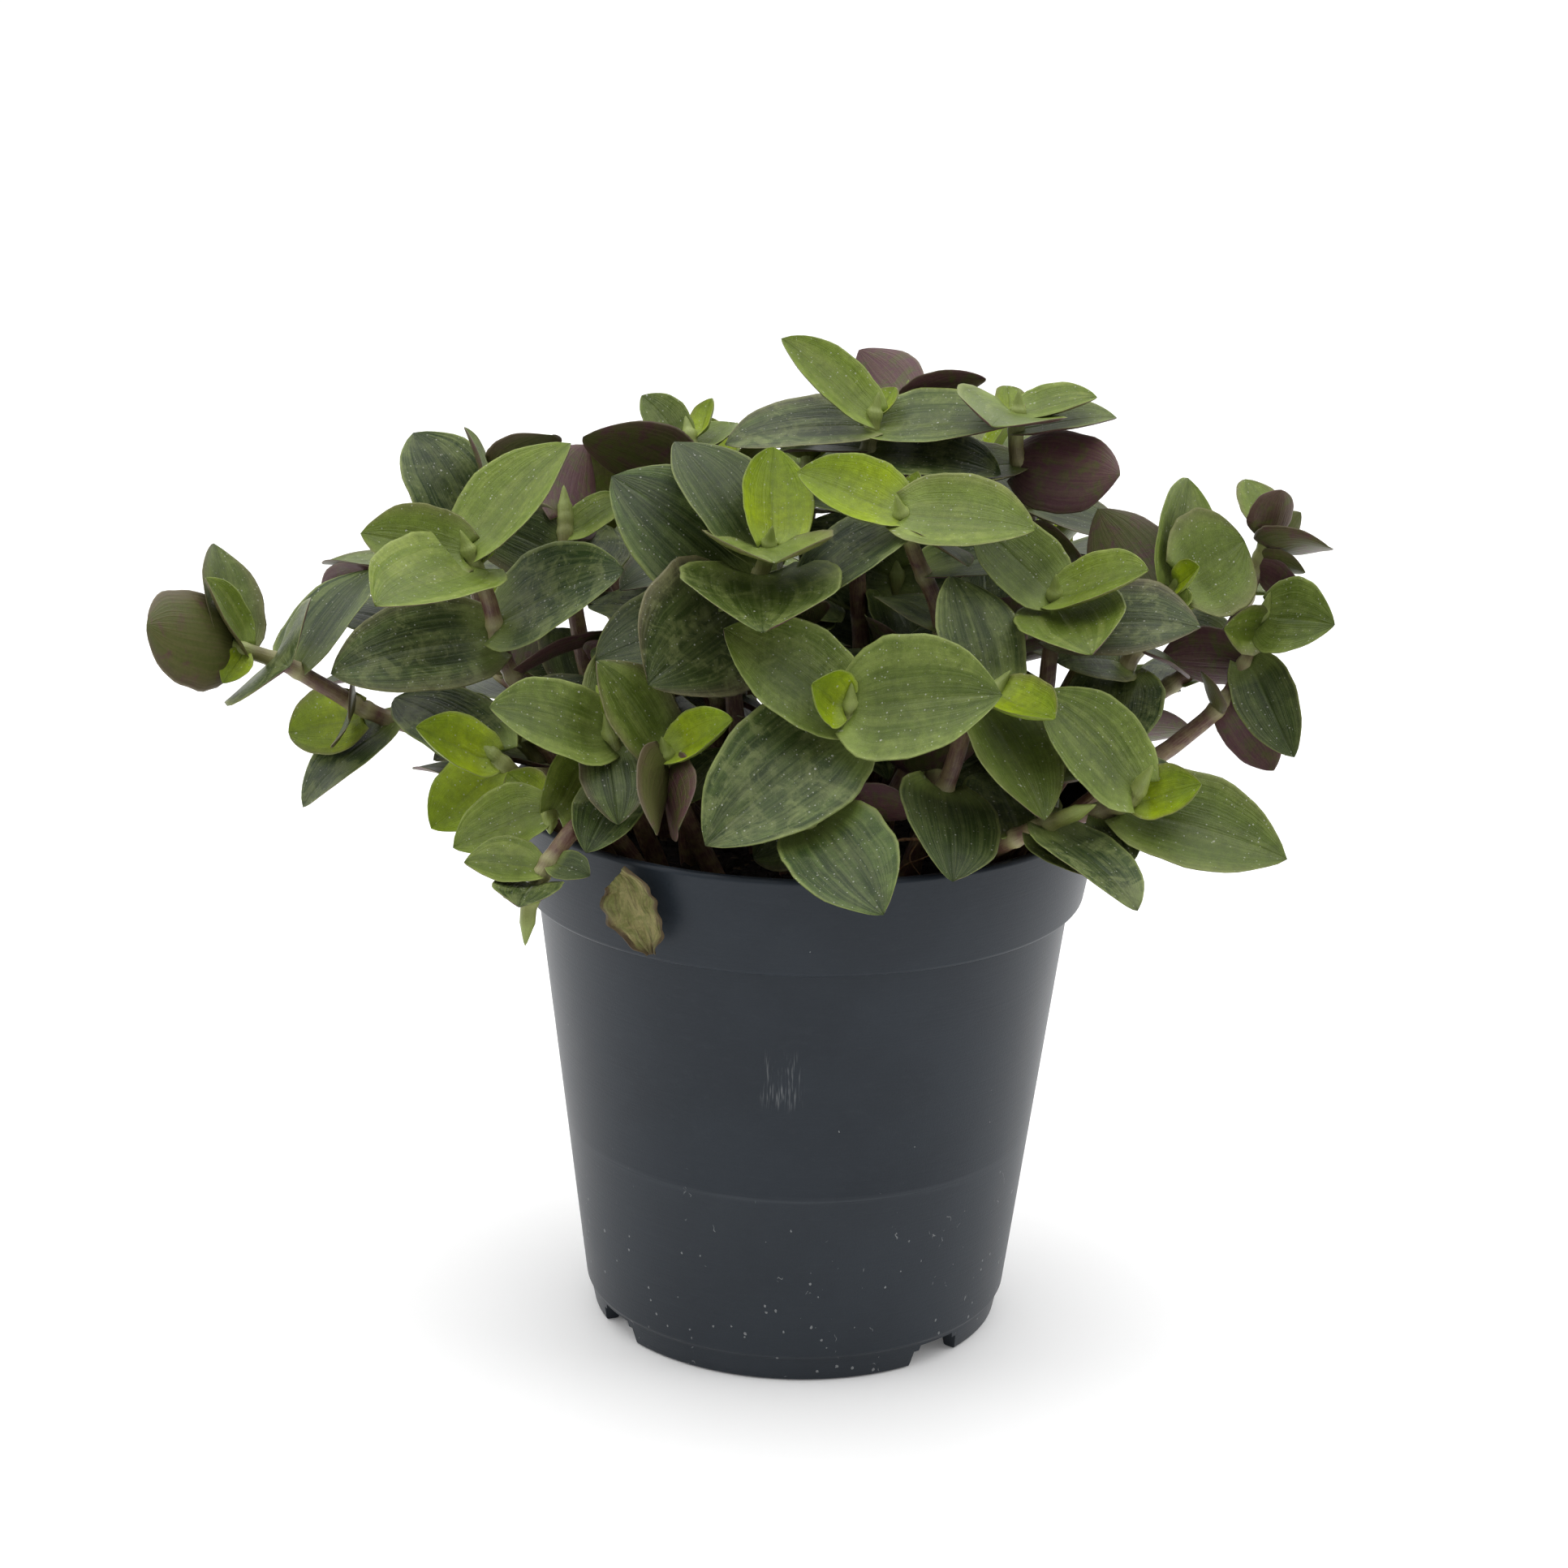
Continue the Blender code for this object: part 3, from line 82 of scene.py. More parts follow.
# half-width of a leaf along its length, as a share of the greatest
OUTLINE = ((0.0, 0.45), (0.06, 0.78), (0.16, 0.95), (0.32, 1.0), (0.48, 0.98), (0.63, 0.88), (0.77, 0.69), (0.89, 0.41), (0.96, 0.19), (1.0, 0.0))
SHOOTS = (
    ("shoot_front_low", ((0, -32, 76), (0, -40, 86), (1, -41, 92)), (
        (17, -60, -20, 20, 14, -25, 0.2),
    )),
    ("shoot_front_middle", ((6, -27, 76), (6, -31, 95.5), (6, -33, 106)), (
        (30, -150, 36, 6.5, 7.5, 75, 0.95),
        (30, 172, 34, 21, 14.5, 40, 0.3),
        (30, -20, 12, 21.5, 17, -55, 0.3),
        (27.5, -145, -29, 26, 17.5, 50, 0.15),
        (16, -160, -42, 18, 14, 60, 0.2),
        (14, -30, 8, 10, 7, 60, 0.1),
    )),
    ("shoot_front_right", ((26, -22, 76), (30, -24.5, 83), (36.5, -27.5, 87.2), (45, -31, 91), (47.5, -33, 95.5)), (
        (30, 175, 44, 19, 14, 40, 0.3),
        (28, -20, 35, 9.5, 7.5, -65, 0.9),
        (28, -18, -5, 24, 14.5, -40, 0.3),
        (23, -60, -25, 9, 6.5, -10, 0.0),
    )),
    ("shoot_front_right_low", ((22, -27, 76), (26.5, -30, 83), (32, -34, 87.6), (38.5, -38, 92)), (
        (20, -50, -20, 19, 12, 5, 0.1),
        (18, -40, -10, 12, 9, -25, 0.05),
    )),
    ("shoot_front_right_inner", ((14, -26, 76), (20, -29, 93), (22.5, -28, 101), (27, -27, 107)), (
        (33, -30, -2, 13, 8, -20, 0.95),
        (30, -55, -40, 19, 13, 0, 0.3),
        (32, -45, -27, 17, 12, -20, 0.1),
        (33, 118, 50, 18, 13, -5, 0.2),
        (17, -85, -25, 18, 14, 5, 0.0),
    )),
    ("shoot_front_left", ((-21, -20, 76), (-26, -28, 92), (-28, -30, 100)), (
        (27, -155, 20, 18, 12, 45, 0.3),
        (27, 115, 40, 8, 5, -45, 0.95),
        (25, -80, -40, 12, 9, 0, 0.05),
        (18, -130, -43, 13, 9, 0, 0.05),
        (27, 110, 72, 19, 9.5, -30, 0.3),
    )),
    ("shoot_left_edge_low", ((-23, -25, 76), (-26.5, -29, 83), (-31, -33.5, 87.2), (-35.5, -38.5, 83), (-38, -41, 78), (-38.5, -42, 74)), (
        (31, -120, 20, 6.5, 4.5, 20, 0.95),
        (30, -115, -15, 10, 9, 0, 0.2),
        (29, -175, 8, 10, 8.5, 40, 0.35),
        (30, -30, -5, 6, 5, -30, 0.2),
    )),
    ("shoot_left_edge", ((-27, -20, 76), (-31, -23, 83), (-36, -27.5, 87), (-36, -32.5, 86.2)), (
        (19, -170, -20, 13.5, 10, 35, 0.5),
        (19, 175, 34, 8, 6, 40, 0.95),
        (18, -10, 62, 13, 9.5, -80, 0.4),
    )),
    ("shoot_left_low", ((-32, -14, 76), (-41, -16, 85.5), (-42, -21, 90), (-46, -22, 94)), (
        (27, 145, 17, 19, 13.5, 15, 0.2),
        (27, -155, 28, 12.5, 8, 50, 0.9),
        (26, -168, -42, 13, 9, 60, 0.85),
    )),
    ("shoot_front_left_inner", ((-13, -22, 76), (-18, -26, 88), (-20, -30, 97)), (
        (23, 155, 52, 16, 12, 30, 0.3),
        (23, -22, 34, 11, 8, -40, 0.85),
        (22, -104, -25, 16, 9, -110, 0.1),
        (20, -80, -18, 14, 10, 120, 0.1),
        (14, 40, 30, 12, 9, 0, 0.0),
    )),
    ("shoot_centre_left", ((-7, -7, 76), (-11, -9, 100), (-10, -10, 113), (-7, -12, 119), (-6, -14, 124)), (
        (50, 90, 47, 16, 10, -20, 0.85),
        (50, 133, 44, 22, 16, 35, 0.2),
        (41, 175, 60, 25, 18, 75, 0.0),
        (49, -85, 8, 18, 17, 0, 0.5),
        (44, -87, -4, 24, 21, 0, 0.25),
        (38, -130, -20, 23, 20, 45, 0.0),
        (35, -150, -8, 22, 15, 15, 0.1),
    )),
    ("shoot_centre", ((9, -9, 76), (19, -8, 98), (19, -8, 111), (15, -9, 121), (12.5, -12, 128.5)), (
        (56.5, 172, 20, 15.5, 11, 35, 0.75),
        (56.5, -18, 0, 19, 13, -35, 0.4),
        (56.5, 65, 60, 8, 5, 25, 1.0),
        (53.5, -135, -25, 19, 13.5, 10, 0.15),
        (51.5, -50, 0, 12, 8.5, 50, 0.1),
    )),
    ("shoot_right_upright", ((24, -8, 76), (33, -10, 94), (35, -12, 108), (35, -15, 118)), (
        (45, 165, 38, 15, 11.5, 40, 0.3),
        (45, -30, 24, 15, 10.5, -30, 0.6),
        (45, 95, 34, 5, 3.5, -40, 1.0),
        (42, -80, 12, 17, 14.5, 0, 0.35),
        (38, -22, 8, 21, 15, -30, 0.05),
    )),
    ("shoot_right_leaning", ((31, -5, 76), (42, -8, 95), (47, -8, 106), (52, -9, 115), (54, -10, 119)), (
        (49, -60, 38, 6, 4.5, -70, 0.95),
        (49, 35, 22, 12.5, 15, -62, 0.35),
        (49, 15, 70, 18.5, 13.5, -75, 0.35),
        (48, 120, 50, 17, 12, -100, 0.05),
        (47, -102, 5, 13, 10, 30, 0.45),
        (33, -145, 20, 18, 13, 35, 0.1),
        (34, -100, -30, 17, 13, 0, 0.05),
        (36, 20, -30, 9, 7, -5, 0.05),
    )),
    ("shoot_right_trailing", ((32, -10, 76), (44, -12, 87), (54, -8, 93), (61, -6, 99), (64, -4, 104), (66, -3, 108), (67, -3, 113)), (
        (53, -55, 8, 14, 11, -60, 0.3),
        (52, -110, 5, 9, 7, 60, 0.5),
        (53, 5, 42, 5.5, 4, -15, 1.0),
        (52, 0, 34, 9, 6.5, -15, 0.2),
        (45, -60, -42, 16, 8.5, -45, 0.2),
        (46, 140, -5, 13, 9.5, -70, 0.1),
        (39, -62, -33, 12, 8.5, 80, 0.1),
        (40, -135, 60, 7, 5, 20, 0.3),
    )),
    ("shoot_left_upright", ((-28, -7, 76), (-39, -9, 92), (-42, -9, 99), (-45, -8, 105), (-47, -8, 113), (-50, -9, 121)), (
        (51, -175, 12, 15, 11, 50, 0.5),
        (51, 30, 44, 21, 15, -10, 0.45),
        (51, 50, 72, 6.5, 4.5, 20, 1.0),
        (47, -135, -2, 23, 15, 5, 0.4),
        (36, -160, -8, 24, 14.5, 45, 0.0),
        (38, -22, 28, 22, 16, -42, 0.15),
    )),
    ("shoot_left_trailing", ((-27, 3, 76), (-38, 2, 85), (-53, 1, 89), (-64, -2, 93), (-72, -4, 98), (-78, -6, 102), (-86, -8, 105)), (
        (67, 110, 53, 16, 12, -40, 0.3),
        (67, 165, 45, 12, 8.5, 30, 0.5),
        (67, -125, 20, 18, 13.5, -80, 0.35),
        (66, -115, -32, 6, 4, 5, 0.8),
        (60, -77, 8, 15, 18, -50, 0.1),
        (56, 52, 38, 20, 14, 10, 0.1),
        (46, -86, 6, 12, 10.5, -75, 0.2),
        (46, -178, -10, 13, 9.5, 65, 0.9),
        (40, -118, -22, 18, 12.5, 15, 0.1),
    )),
    ("shoot_back_centre", ((4, 12, 76), (8, 10, 95), (7, 10, 114), (8, 9, 132), (9, 9, 139)), (
        (63, 175, 40, 17, 10, 30, 0.55),
        (63, 54, 35, 6, 4, -5, 1.0),
        (63, -12, 6, 20, 14, -20, 0.25),
        (60, -172, -6, 21, 13, 20, 0.15),
        (57, -20, -3, 20, 14, -18, 0.1),
        (56, 160, -6, 14, 10, 5, 0.1),
        (49, -135, 13, 14, 10, 30, 0.0),
    )),
    ("shoot_right_tall", ((19, 10, 76), (30, 9, 94), (32, 8, 115), (32, 8, 126), (30, 8, 133), (30, 8, 140)), (
        (68, -2, 15, 11, 8, -20, 0.5),
        (68, 100, 35, 6, 4.5, -5, 0.7),
        (66, -106, 4, 15, 15, 12, 0.35),
        (64, -3, 10, 14, 10, -12, 0.3),
        (59, -30, 0, 16, 12, 92, 0.05),
        (60, -156, 5, 14, 10, 5, 0.2),
        (52, -34, -13, 16, 11.5, -15, 0.1),
        (47, -47, -1, 12, 8.5, 50, 0.1),
    )),
    ("shoot_right_far", ((30, 6, 76), (41, 6, 88), (61, 6, 104), (66, 4, 117), (68, 3, 124)), (
        (63, 108, 36, 10, 7, -5, 0.5),
        (63, -70, 66, 8, 6, 15, 0.4),
        (62, -55, 13, 13, 9, 30, 0.2),
        (62, -30, -5, 7, 5, 50, 0.4),
        (60, -60, -20, 10, 7, 70, 0.2),
        (62, 20, 45, 7, 5, 78, 0.4),
    )),
    ("shoot_left_behind", ((-24, 12, 76), (-36, 12, 86), (-50, 12, 90), (-58, 11, 100), (-60, 10, 108), (-62, 10, 114)), (
        (60, 152, -5, 14, 10, 0, 0.3),
        (55, 174, 5, 17, 12, -30, 0.1),
        (39, -172, -4, 18, 12.5, -5, 0.1),
    )),
    ("shoot_left_back", ((-22, 16, 76), (-38, 16, 88), (-47, 16, 97), (-51, 16, 109), (-51, 18, 121), (-45, 21, 126)), (
        (55, 142, 46, 17, 14, 20, 0.05),
        (61, 153, 66, 9, 7, -25, 0.3),
        (65, -50, 35, 13, 9.5, 15, 0.2),
    )),
    ("shoot_left_inner", ((-17, 6, 76), (-31, 5, 92), (-36, 5, 114), (-37, 8, 124)), (
        (52, 84, 32, 16, 11.5, 130, 0.1),
        (44, 68, 26, 15, 11, -25, 0.0),
        (51, 10, 30, 10, 7, -28, 0.4),
        (47, 178, 20, 15, 11, 60, 0.0),
    )),
    ("shoot_back_left_top", ((-8, 12, 76), (-17, 12, 101), (-17, 12, 120), (-18, 13, 129), (-19, 15, 134)), (
        (53, -152, 24, 19, 12.5, -45, 0.05),
        (60, 155, 39, 9, 6.5, 40, 0.3),
        (60, 64, 44, 7, 4, 15, 1.0),
        (59, 50, 19, 9, 6.5, 0, 0.5),
        (60, 98, 31, 8, 5.5, -45, 0.7),
    )),
    ("shoot_back_top", ((10, 24, 76), (14, 24, 105), (14, 23, 124), (14, 20, 139)), (
        (63, 125, 26, 13, 10.5, -134, 0.1),
        (63, -26, 24, 13, 9, 30, 0.15),
        (64, 32, 14, 6, 4.5, -15, 0.8),
        (61, 180, 4, 17, 11, -25, 0.3),
    )),
    ("shoot_inner_back", ((14, 15, 76), (14, 15, 95), (13, 16, 113)), (
        (36, 178, 24, 16, 13, 60, 0.05),
        (36, 0, 20, 16, 13, -60, 0.05),
        (31, -90, -25, 14, 14, 0, 0.05),
        (27, 175, 0, 16, 13, 55, 0.0),
        (26, 0, 0, 16, 13, -55, 0.0),
    )),
)
# Shoots on the far side, grown by rule: name, root (heading, radius), tip (heading, radius, height), number of leaves, first heading, size
BACK_SHOOTS = (
    ("shoot_rear_1", (50, 28), (50, 40, 128), 7, 20, 1.0),
    ("shoot_rear_2", (84, 30), (82, 52, 118), 8, 60, 1.0),
    ("shoot_rear_3", (112, 24), (110, 34, 126), 7, 170, 0.95),
    ("shoot_rear_4", (128, 34), (127, 60, 112), 8, 40, 1.0),
    ("shoot_rear_5", (52, 34), (50, 62, 110), 8, 110, 1.0),
    ("shoot_rear_6", (98, 35), (97, 66, 99), 8, 10, 0.95),
    ("shoot_rear_7", (150, 33), (150, 60, 100), 7, 75, 0.9),
    ("shoot_rear_8", (26, 34), (34, 55, 96), 7, 130, 0.85),
    ("shoot_rear_9", (74, 33), (72, 57, 88), 6, 150, 0.8),
    ("shoot_rear_10", (116, 33), (116, 58, 87), 6, 95, 0.8),
    ("shoot_rear_11", (142, 20), (142, 42, 118), 7, 90, 0.9),
    ("shoot_rear_12", (36, 31), (36, 46, 122), 7, 100, 0.9),
    ("shoot_rear_13", (92, 12), (92, 22, 130), 6, 40, 0.85),
)
# Short shoots that fill the middle, low over the soil: name, root, tip, first heading, number of leaves
INNER_SHOOTS = (
    ("shoot_inner_1", (-2, -16, 76), (-1, -21, 95), 200, 4),
    ("shoot_inner_2", (16, -14, 76), (19, -18, 98), 250, 5),
    ("shoot_inner_3", (30, -15, 76), (38, -19, 97), 300, 5),
    ("shoot_inner_4", (-17, -12, 76), (-21, -17, 104), 210, 5),
    ("shoot_inner_5", (-32, -4, 76), (-44, -5, 92), 190, 4),
    ("shoot_inner_6", (24, 2, 76), (27, -1, 110), 280, 5),
    ("shoot_inner_7", (-13, 2, 76), (-15, -1, 112), 240, 5),
    ("shoot_inner_8", (-3, 4, 76), (-1, 2, 108), 275, 5),
    ("shoot_inner_9", (-21, 1, 76), (-28, -1, 102), 255, 5),
    ("shoot_inner_10", (12, 2, 76), (14, 0, 104), 215, 4),
    ("shoot_inner_11", (34, -1, 76), (41, -1, 97), 330, 4),
    ("shoot_inner_12", (-9, 17, 76), (-14, 16, 108), 200, 5),
    ("shoot_inner_13", (19, 17, 76), (23, 17, 107), 310, 5),
)


def vec(x, y, z):
    return Vector((float(x), float(y), float(z)))


def outline(t):
    for (a, u), (b, v) in zip(OUTLINE, OUTLINE[1:]):
        if t <= b:
            return u + (v - u) * (t - a) / (b - a)
    return 0.0


class Path:
    """A smooth curve through the given points, measured by length."""

    def __init__(self, points):
        p = [vec(*q) for q in points]
        p = [p[0] * 2 - p[1]] + p + [p[-1] * 2 - p[-2]]
        self.points = []
        for i in range(1, len(p) - 2):
            for k in range(8):
                t = k / 8
                a, b, c, d = p[i - 1:i + 3]
                self.points.append(0.5 * (2 * b + (c - a) * t + (2 * a - 5 * b + 4 * c - d) * t * t + (3 * b - a - 3 * c + d) * t ** 3))
        self.points.append(p[-2])
        self.at = [0.0]
        for a, b in zip(self.points, self.points[1:]):
            self.at.append(self.at[-1] + (b - a).length)
        self.length = self.at[-1]

    def place(self, s):
        s = min(max(s, 0.0), self.length)
        for i in range(1, len(self.at)):
            if s <= self.at[i]:
                break
        f = (s - self.at[i - 1]) / (self.at[i] - self.at[i - 1])
        return self.points[i - 1].lerp(self.points[i], f)

    def heading(self, s):
        return (self.place(s + 1.2) - self.place(s - 1.2)).normalized()


class Solid:
    def __init__(self):
        self.verts, self.faces = [], []

    def put(self, p):
        self.verts.append(p)
        return len(self.verts) - 1

    def tree(self):
        return BVHTree.FromPolygons([tuple(v) for v in self.verts], self.faces, all_triangles=True)


def axes(heading, rise, roll):
    a, e, r = (math.radians(v) for v in (heading, rise, roll))
    d = vec(math.cos(e) * math.cos(a), math.cos(e) * math.sin(a), math.sin(e))
    s0 = vec(-math.sin(a), math.cos(a), 0)
    n0 = d.cross(s0)
    return d, s0 * math.cos(r) - n0 * math.sin(r), n0 * math.cos(r) + s0 * math.sin(r)


def leaf_line(leaf, root, out, t):
    """Centre of the leaf at t, its half width and how far its edges are raised."""
    d, s, n, length, width, youth = leaf
    bow = 0.05 - 0.10 * youth
    lift = 0.9 * (1 - t) ** 3 * min(1.0, 8 * t)
    p = root + d * (length * t) + n * (bow * length * math.sin(math.pi * t)) + out * lift
    half = width / 2 * outline(t)
    cup = 0.17 + 0.42 * youth
    return p, half, cup * half


def leaf_rings(leaf, root, out, stops, grow=0.0):
    d, s, n, length, width, youth = leaf
    rings = []
    for t in stops:
        p, half, raised = leaf_line(leaf, root, out, t)
        half += grow
        thick = LEAF_T / 2 + grow
        rings.append([p - s * half + n * raised, p - n * thick, p + s * half + n * raised, p + n * thick])
    tip, _, _ = leaf_line(leaf, root, out, 1.0)
    return rings, tip + d * grow


def loft(solid, rings, tip):
    """Joins rings of four to each other and to the tip. The first ring is made of vertex numbers."""
    before = rings[0]
    for ring in rings[1:]:
        now = [solid.put(p) for p in ring]
        for i in range(4):
            j = (i + 1) % 4
            if i in (0, 2):      # 0 and 2 are the leaf's edges
                solid.faces += [(before[i], before[j], now[j]), (before[i], now[j], now[i])]
            else:
                solid.faces += [(before[i], before[j], now[i]), (before[j], now[j], now[i])]
        before = now
    end = solid.put(tip)
    for i in range(4):
        solid.faces.append((before[i], before[(i + 1) % 4], end))


def test_shape(leaf, root, out, start, grow):
    shape = Solid()
    stops = [start] + [t for t in (0.2, 0.36, 0.55, 0.75, 0.9) if t > start + 0.05]
    rings, tip = leaf_rings(leaf, root, out, stops, grow)
    first = [shape.put(p) for p in rings[0]]
    loft(shape, [first] + rings[1:], tip)
    shape.faces += [(first[2], first[1], first[0]), (first[3], first[2], first[0])]
    return shape


def stops_of(length):
    return (0.07, 0.26, 0.54, 0.82) if length > 12.5 else (0.08, 0.34, 0.7) if length > 7 else (0.12, 0.55)


def nudges():
    found = []
    for a in (0, 0.18, -0.18, 0.36, -0.36, 0.55, -0.55):
        for b in (0, 0.15, -0.15, 0.3, -0.3):
            for c in (0, 0.15, -0.15, 0.3, -0.3):
                for turn in (0, 15, -15, 30, -30):
                    for size in (1.0, 0.88, 0.75):
                        found.append((0.6 * abs(a) + abs(b) + abs(c) + 0.008 * abs(turn) + 1.6 * (1 - size), a, b, c, turn, size))
    found.sort(key=lambda q: q[0])
    return [q[1:] for q in found]


NUDGES = nudges()


class Shoot:
    """A stem with the faces that its leaves grow from."""

    def __init__(self, name, points):
        self.name = name
        self.path = Path(points)
        self.cells = []        # [station, {side: leaf}]
        self.leaves = []
        t = self.path.heading(0)
        self.start = t.orthogonal().normalized()

    def frame(self, s):
        """Two directions across the stem at s, without twist."""
        u = self.start.copy()
        steps = max(2, int(s / 2.0) + 1)
        for k in range(steps + 1):
            t = self.path.heading(s * k / steps)
            u = (u - t * u.dot(t)).normalized()
        return u, t.cross(u), t

    def radius(self, s):
        return STEM_R0 + (STEM_R1 - STEM_R0) * s / self.path.length

    def seat(self, s, d):
        """The free place on the stem nearest to s that faces d: cell, side, root point and outward direction."""
        top = self.path.length - NODE_H / 2 - 0.35
        s = min(s, top)
        choices = [(abs(cell[0] - s), i) for i, cell in enumerate(self.cells)]
        choices.sort()
        for gap, i in choices:
            if gap < NODE_STEP:
                cell = self.cells[i]
                side, root, out = self.side(cell[0], d)
                if all(min(abs(side - k), STEM_SIDES - abs(side - k)) >= 2 for k in cell[1]):
                    return i, cell[0], side, root, out
        low = s
        for _ in range(40):
            if all(abs(cell[0] - low) >= NODE_STEP - 1e-6 for cell in self.cells):
                side, root, out = self.side(low, d)
                return -1, low, side, root, out
            low -= 0.25
        return None

    def side(self, s, d):
        u, v, t = self.frame(s)
        across = d - t * d.dot(t)
        a = math.atan2(across.dot(v), across.dot(u)) if across.length > 1e-3 else 0.0
        side = int(math.floor(a / (2 * math.pi / STEM_SIDES))) % STEM_SIDES
        m = (side + 0.5) * 2 * math.pi / STEM_SIDES
        out = u * math.cos(m) + v * math.sin(m)
        return side, self.path.place(s) + out * (self.radius(s) * math.cos(math.pi / STEM_SIDES)), out

    def tube(self, skip=()):
        solid = Solid()
        cuts = [0.0, self.path.length]
        cells = sorted(self.cells, key=lambda c: c[0])
        for cell in cells:
            cuts += [cell[0] - NODE_H / 2, cell[0] + NODE_H / 2]
        span = 5.0
        cuts.sort()
        full = [cuts[0]]
        inside = [(c[0] - NODE_H / 2, c[0] + NODE_H / 2) for c in cells]
        for a, b in zip(cuts, cuts[1:]):
            if b - a < 0.15:
                continue
            if not any(abs(a - lo) < 1e-6 for lo, hi in inside):
                n = int((b - a) / span)
                full += [a + (b - a) * (k + 1) / (n + 1) for k in range(n)]
            full.append(b)
        rings = []
        for s in full:
            u, v, t = self.frame(s)
            p, r = self.path.place(s), self.radius(s)
            rings.append([solid.put(p + (u * math.cos(a) + v * math.sin(a)) * r) for a in (2 * math.pi * k / STEM_SIDES for k in range(STEM_SIDES))])
        doors = {}
        for k, (a, b) in enumerate(zip(full, full[1:])):
            cell = next((c for c in cells if abs(c[0] - NODE_H / 2 - a) < 0.16), None)
            for i in range(STEM_SIDES):
                j = (i + 1) % STEM_SIDES
                quad = (rings[k][i], rings[k][j], rings[k + 1][j], rings[k + 1][i])
                if cell and i in cell[1] and cell[1][i] not in skip:
                    doors[cell[1][i]] = quad
                else:
                    solid.faces += [(quad[0], quad[1], quad[2]), (quad[0], quad[2], quad[3])]
        for i in range(1, STEM_SIDES - 1):
            solid.faces.append((rings[0][0], rings[0][i + 1], rings[0][i]))
            solid.faces.append((rings[-1][0], rings[-1][i], rings[-1][i + 1]))
        return solid, doors

    def solid(self):
        solid, doors = self.tube()
        for number, (leaf, root, out) in enumerate(self.leaves):
            quad = doors[number]
            rings, tip = leaf_rings(leaf, root, out, stops_of(leaf[3]))
            first = rings[0]
            best = None
            for order in ((0, 1, 2, 3), (3, 2, 1, 0)):
                ring = [first[k] for k in order]
                # the ring must run the same way round as the quad, seen from outside
                area = sum(((ring[(k + 1) % 4] - ring[k]).cross(ring[(k + 2) % 4] - ring[k]).dot(leaf[0]) for k in range(4)))
                if area < 0:
                    continue
                for turn in range(4):
                    cost = sum((solid.verts[quad[k]] - ring[(k + turn) % 4]).length for k in range(4))
                    if best is None or cost < best[0]:
                        best = (cost, order, turn)
            _, order, turn = best
            rings = [[r[k] for k in order] for r in rings]
            start = [quad[(k - turn) % 4] for k in range(4)]
            now = [solid.put(p) for p in rings[0]]
            for i in range(4):
                j = (i + 1) % 4
                solid.faces += [(start[i], start[j], now[j]), (start[i], now[j], now[i])]
            loft(solid, [now] + rings[1:], tip)
        return solid


class Plant:
    def __init__(self, fixed):
        self.fixed = fixed            # trees of the pot and the soil
        self.shoots = []
        self.grown = []               # (low, high, tree, shoot, leaf number)
        self.missing = []

    def add(self, name, points):
        shoot = Shoot(name, points)
        self.shoots.append(shoot)
        shoot.bare = shoot.tube()[0].tree()
        return shoot

    def free(self, whole, near, shoot):
        """Whether a leaf keeps clear: all of it of the other shoots, and all but its base of its own."""
        low = [min(v[k] for v in whole.verts) for k in range(3)]
        high = [max(v[k] for v in whole.verts) for k in range(3)]
        whole, near = whole.tree(), near.tree()
        for lo, hi, other, owner in self.grown:
            if all(lo[k] <= high[k] and hi[k] >= low[k] for k in range(3)):
                if (near if owner is shoot else whole).overlap(other):
                    return False
        if near.overlap(shoot.bare) or any(whole.overlap(other.bare) for other in self.shoots if other is not shoot):
            return False
        return not any(whole.overlap(f) for f in self.fixed)

    def grow(self, shoot, row, tries=NUDGES, must=True):
        s, heading, rise, length, width, roll, youth = row
        d0, _, _ = axes(heading, rise, roll)
        seat = shoot.seat(s, d0)
        if seat is None:
            self.missing.append((shoot.name, row, "no seat"))
            return False
        cell, s, side, root, out = seat
        for a, b, c, turn, size in tries:
            d = (d0 + vec(c, a, b)).normalized()
            d, sd, n = axes(math.degrees(math.atan2(d.y, d.x)), math.degrees(math.asin(max(-1, min(1, d.z)))), roll + turn)
            leaf = (d, sd, n, length * size, width * size * BROAD, youth)
            whole = test_shape(leaf, root, out, 0.0, CLEAR)
            near = test_shape(leaf, root, out, 0.17, 0.12)
            if self.free(whole, near, shoot):
                if cell < 0:
                    shoot.cells.append([s, {}])
                    cell = len(shoot.cells) - 1
                shoot.cells[cell][1][side] = len(shoot.leaves)
                shoot.leaves.append((leaf, root, out))
                kept = test_shape(leaf, root, out, 0.0, 0.0)
                low = [min(v[k] for v in kept.verts) for k in range(3)]
                high = [max(v[k] for v in kept.verts) for k in range(3)]
                self.grown.append((low, high, kept.tree(), shoot))
                return True
        if must:
            self.missing.append((shoot.name, row, "no room"))
        return False


def far_side_points(root, tip):
    """A stem that rises from the soil, leans out over the rim and turns up at its end."""
    (ra, rr), (ta, tr, tz) = root, tip
    ra, ta = math.radians(ra), math.radians(ta)
    out = tr > 46
    points = [(rr * math.cos(ra), rr * math.sin(ra), 76)]
    if out:
        points.append((39 * math.cos(ta), 39 * math.sin(ta), 83))
        points.append((46 * math.cos(ta), 46 * math.sin(ta), max(87.4, 76 + 0.42 * (tz - 76))))
    else:
        m = (rr * 0.55 + tr * 0.45)
        points.append((m * math.cos(ta), m * math.sin(ta), 76 + 0.5 * (tz - 76)))
    points.append((tr * 0.94 * math.cos(ta), tr * 0.94 * math.sin(ta), tz - 8 if tz > 96 else tz - 1))
    points.append((tr * math.cos(ta), tr * math.sin(ta), tz))
    return points


